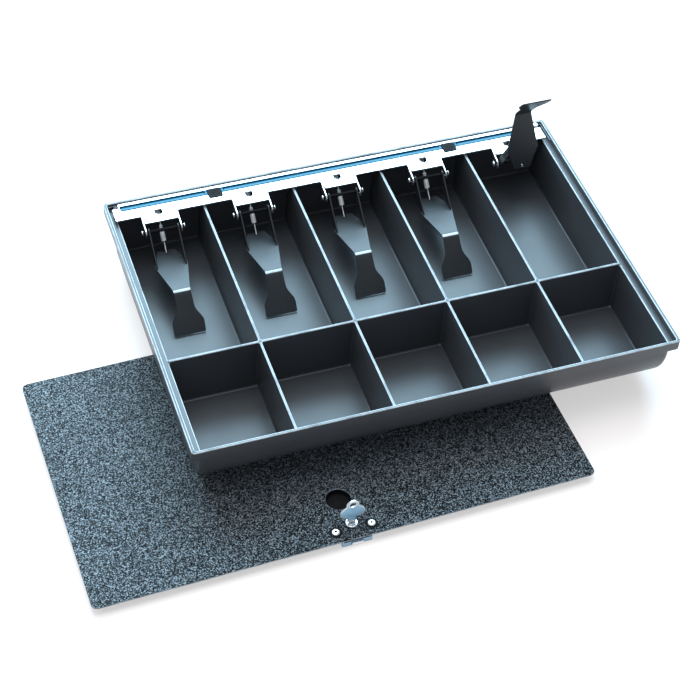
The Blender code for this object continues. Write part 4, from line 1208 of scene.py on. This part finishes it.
def build_floor():
    bm = bmesh.new()
    h = FLOOR_HALF
    bm.faces.new([bm.verts.new((x, y, 0.0)) for x, y in rect(-h, h, -h, h)])
    floor = mesh_object("studio_floor", bm)
    mat = bpy.data.materials.new("studio_white")
    mat.use_nodes = True
    shader = mat.node_tree.nodes["Principled BSDF"]
    shader.inputs["Base Color"].default_value = (0.5, 0.44, 0.41, 1.0)
    shader.inputs["Emission Color"].default_value = (1.0, 1.0, 1.0, 1.0)
    shader.inputs["Emission Strength"].default_value = 0.5
    shader.inputs["Roughness"].default_value = 0.9
    shader.inputs["Specular IOR Level"].default_value = 0.1
    floor.data.materials.append(mat)


def soft_light(name, position, aim, size, power, colour=(1.0, 1.0, 1.0)):
    data = bpy.data.lights.new(name, "AREA")
    data.shape = "RECTANGLE"
    data.size, data.size_y = size
    data.energy = power
    data.color = colour
    lamp = bpy.data.objects.new(name, data)
    bpy.context.collection.objects.link(lamp)
    lamp.location = position
    lamp.rotation_euler = (Vector(aim) - Vector(position)).to_track_quat("-Z", "Y").to_euler()


def build_world():
    """White to the camera; to everything else a dim room, so that the panels do the lighting."""
    world = bpy.data.worlds.new("studio")
    bpy.context.scene.world = world
    world.use_nodes = True
    tree = world.node_tree
    room = tree.nodes["Background"]
    room.inputs["Color"].default_value = (0.84, 0.9, 1.0, 1.0)
    room.inputs["Strength"].default_value = 0.55
    backdrop = tree.nodes.new("ShaderNodeBackground")
    backdrop.inputs["Color"].default_value = (1.0, 1.0, 1.0, 1.0)
    mix = tree.nodes.new("ShaderNodeMixShader")
    tree.links.new(tree.nodes.new("ShaderNodeLightPath").outputs["Is Camera Ray"], mix.inputs[0])
    tree.links.new(room.outputs[0], mix.inputs[1])
    tree.links.new(backdrop.outputs[0], mix.inputs[2])
    tree.links.new(mix.outputs[0], tree.nodes["World Output"].inputs["Surface"])
    bpy.context.scene.view_settings.view_transform = "Standard"


def build_lights():
    """A cool panel behind with a lower one beyond it, a bank overhead and a faint one at the left."""
    soft_light("back_panel", (0.45, 1.3, 1.5), (0.0, 0.05, 0.0), (2.2, 1.2), 78.0, (0.52, 0.81, 1.0))
    soft_light("low_panel", (0.1, 2.2, 0.85), (0.0, 0.0, 0.0), (2.6, 0.8), 110.0, (0.52, 0.81, 1.0))
    soft_light("top_bank", (-0.1, 0.2, 2.1), (0.0, 0.0, 0.0), (1.6, 1.2), 30.0, (0.86, 0.95, 1.0))
    soft_light("left_bank", (-1.6, 0.3, 1.2), (0.0, 0.0, 0.0), (0.8, 0.8), 3.0)


def build_camera():
    a = radians(VIEW_AZIMUTH)
    e = radians(VIEW_ELEVATION)
    r = radians(VIEW_ROLL)
    back = Vector((sin(a) * cos(e), -cos(a) * cos(e), sin(e)))
    place = TO_TRAY @ (Vector(VIEW_TARGET) + back * VIEW_DISTANCE)
    right = (-back).cross(Vector((0.0, 0.0, 1.0))).normalized()
    up = right.cross(-back)
    right, up = right * cos(r) + up * sin(r), up * cos(r) - right * sin(r)
    data = bpy.data.cameras.new("photo_view")
    data.lens = VIEW_LENS
    data.sensor_width = 36.0
    camera = bpy.data.objects.new("photo_view", data)
    bpy.context.collection.objects.link(camera)
    camera.matrix_world = Matrix.Translation(place) @ Matrix((right, up, back)).transposed().to_4x4()
    bpy.context.scene.camera = camera


def main():
    tray_black = tray_material()
    clip_black = clip_material()
    bar_shader, bar_tone = plating_material("bar_plating", (0.88, 0.89, 0.9), 0.3, (0.04, 1.0, 1.0))
    bead_painted_shade(bar_shader, bar_tone)
    bar_bright = bar_shader.mat
    steel = plating_material("fastener_steel", (0.86, 0.87, 0.88), 0.34, (1.0, 1.0, 1.0), 300.0)[0].mat
    wire_shader = plating_material("spring_wire", (0.98, 0.97, 0.95), 0.5, (1.0, 1.0, 1.0), 500.0)[0]
    wire_shader.set("Metallic", 0.25)
    wire = wire_shader.mat
    zinc = plating_material("zinc_steel", (0.3, 0.46, 0.6), 0.4, (0.05, 1.0, 1.0))[0].mat
    chrome = plating_material("lock_plating", (0.86, 0.87, 0.88), 0.22, (1.0, 1.0, 1.0), 200.0)[0].mat
    oxide = clip_material("pin_steel")
    ridge_highlight = ridge_highlight_material()
    key_plate = key_material()
    cut_edge_highlight = cut_edge_highlight_material()
    enamel = arm_material()
    cover_black = cover_material()

    build_tray(tray_black, ridge_highlight)
    build_bar(bar_bright)
    build_clip("clip_left", -CLIP_X, clip_black)
    build_clip("clip_right", CLIP_X, clip_black)
    build_screw(steel)
    build_holders(enamel, ridge_highlight)
    build_pins(oxide, steel)
    build_springs(wire)
    build_cover(cover_black, cut_edge_highlight)
    build_finger_cup(clip_black)
    build_washers(clip_black)
    build_lock_case(zinc)
    build_lock_barrel(chrome, chrome, zinc)
    build_bolt(steel)
    build_key(key_plate, steel)
    build_rivets(steel, clip_black)
    build_hooks(zinc)
    build_floor()
    build_world()
    build_lights()
    build_camera()


main()
bpy.context.view_layer.update()
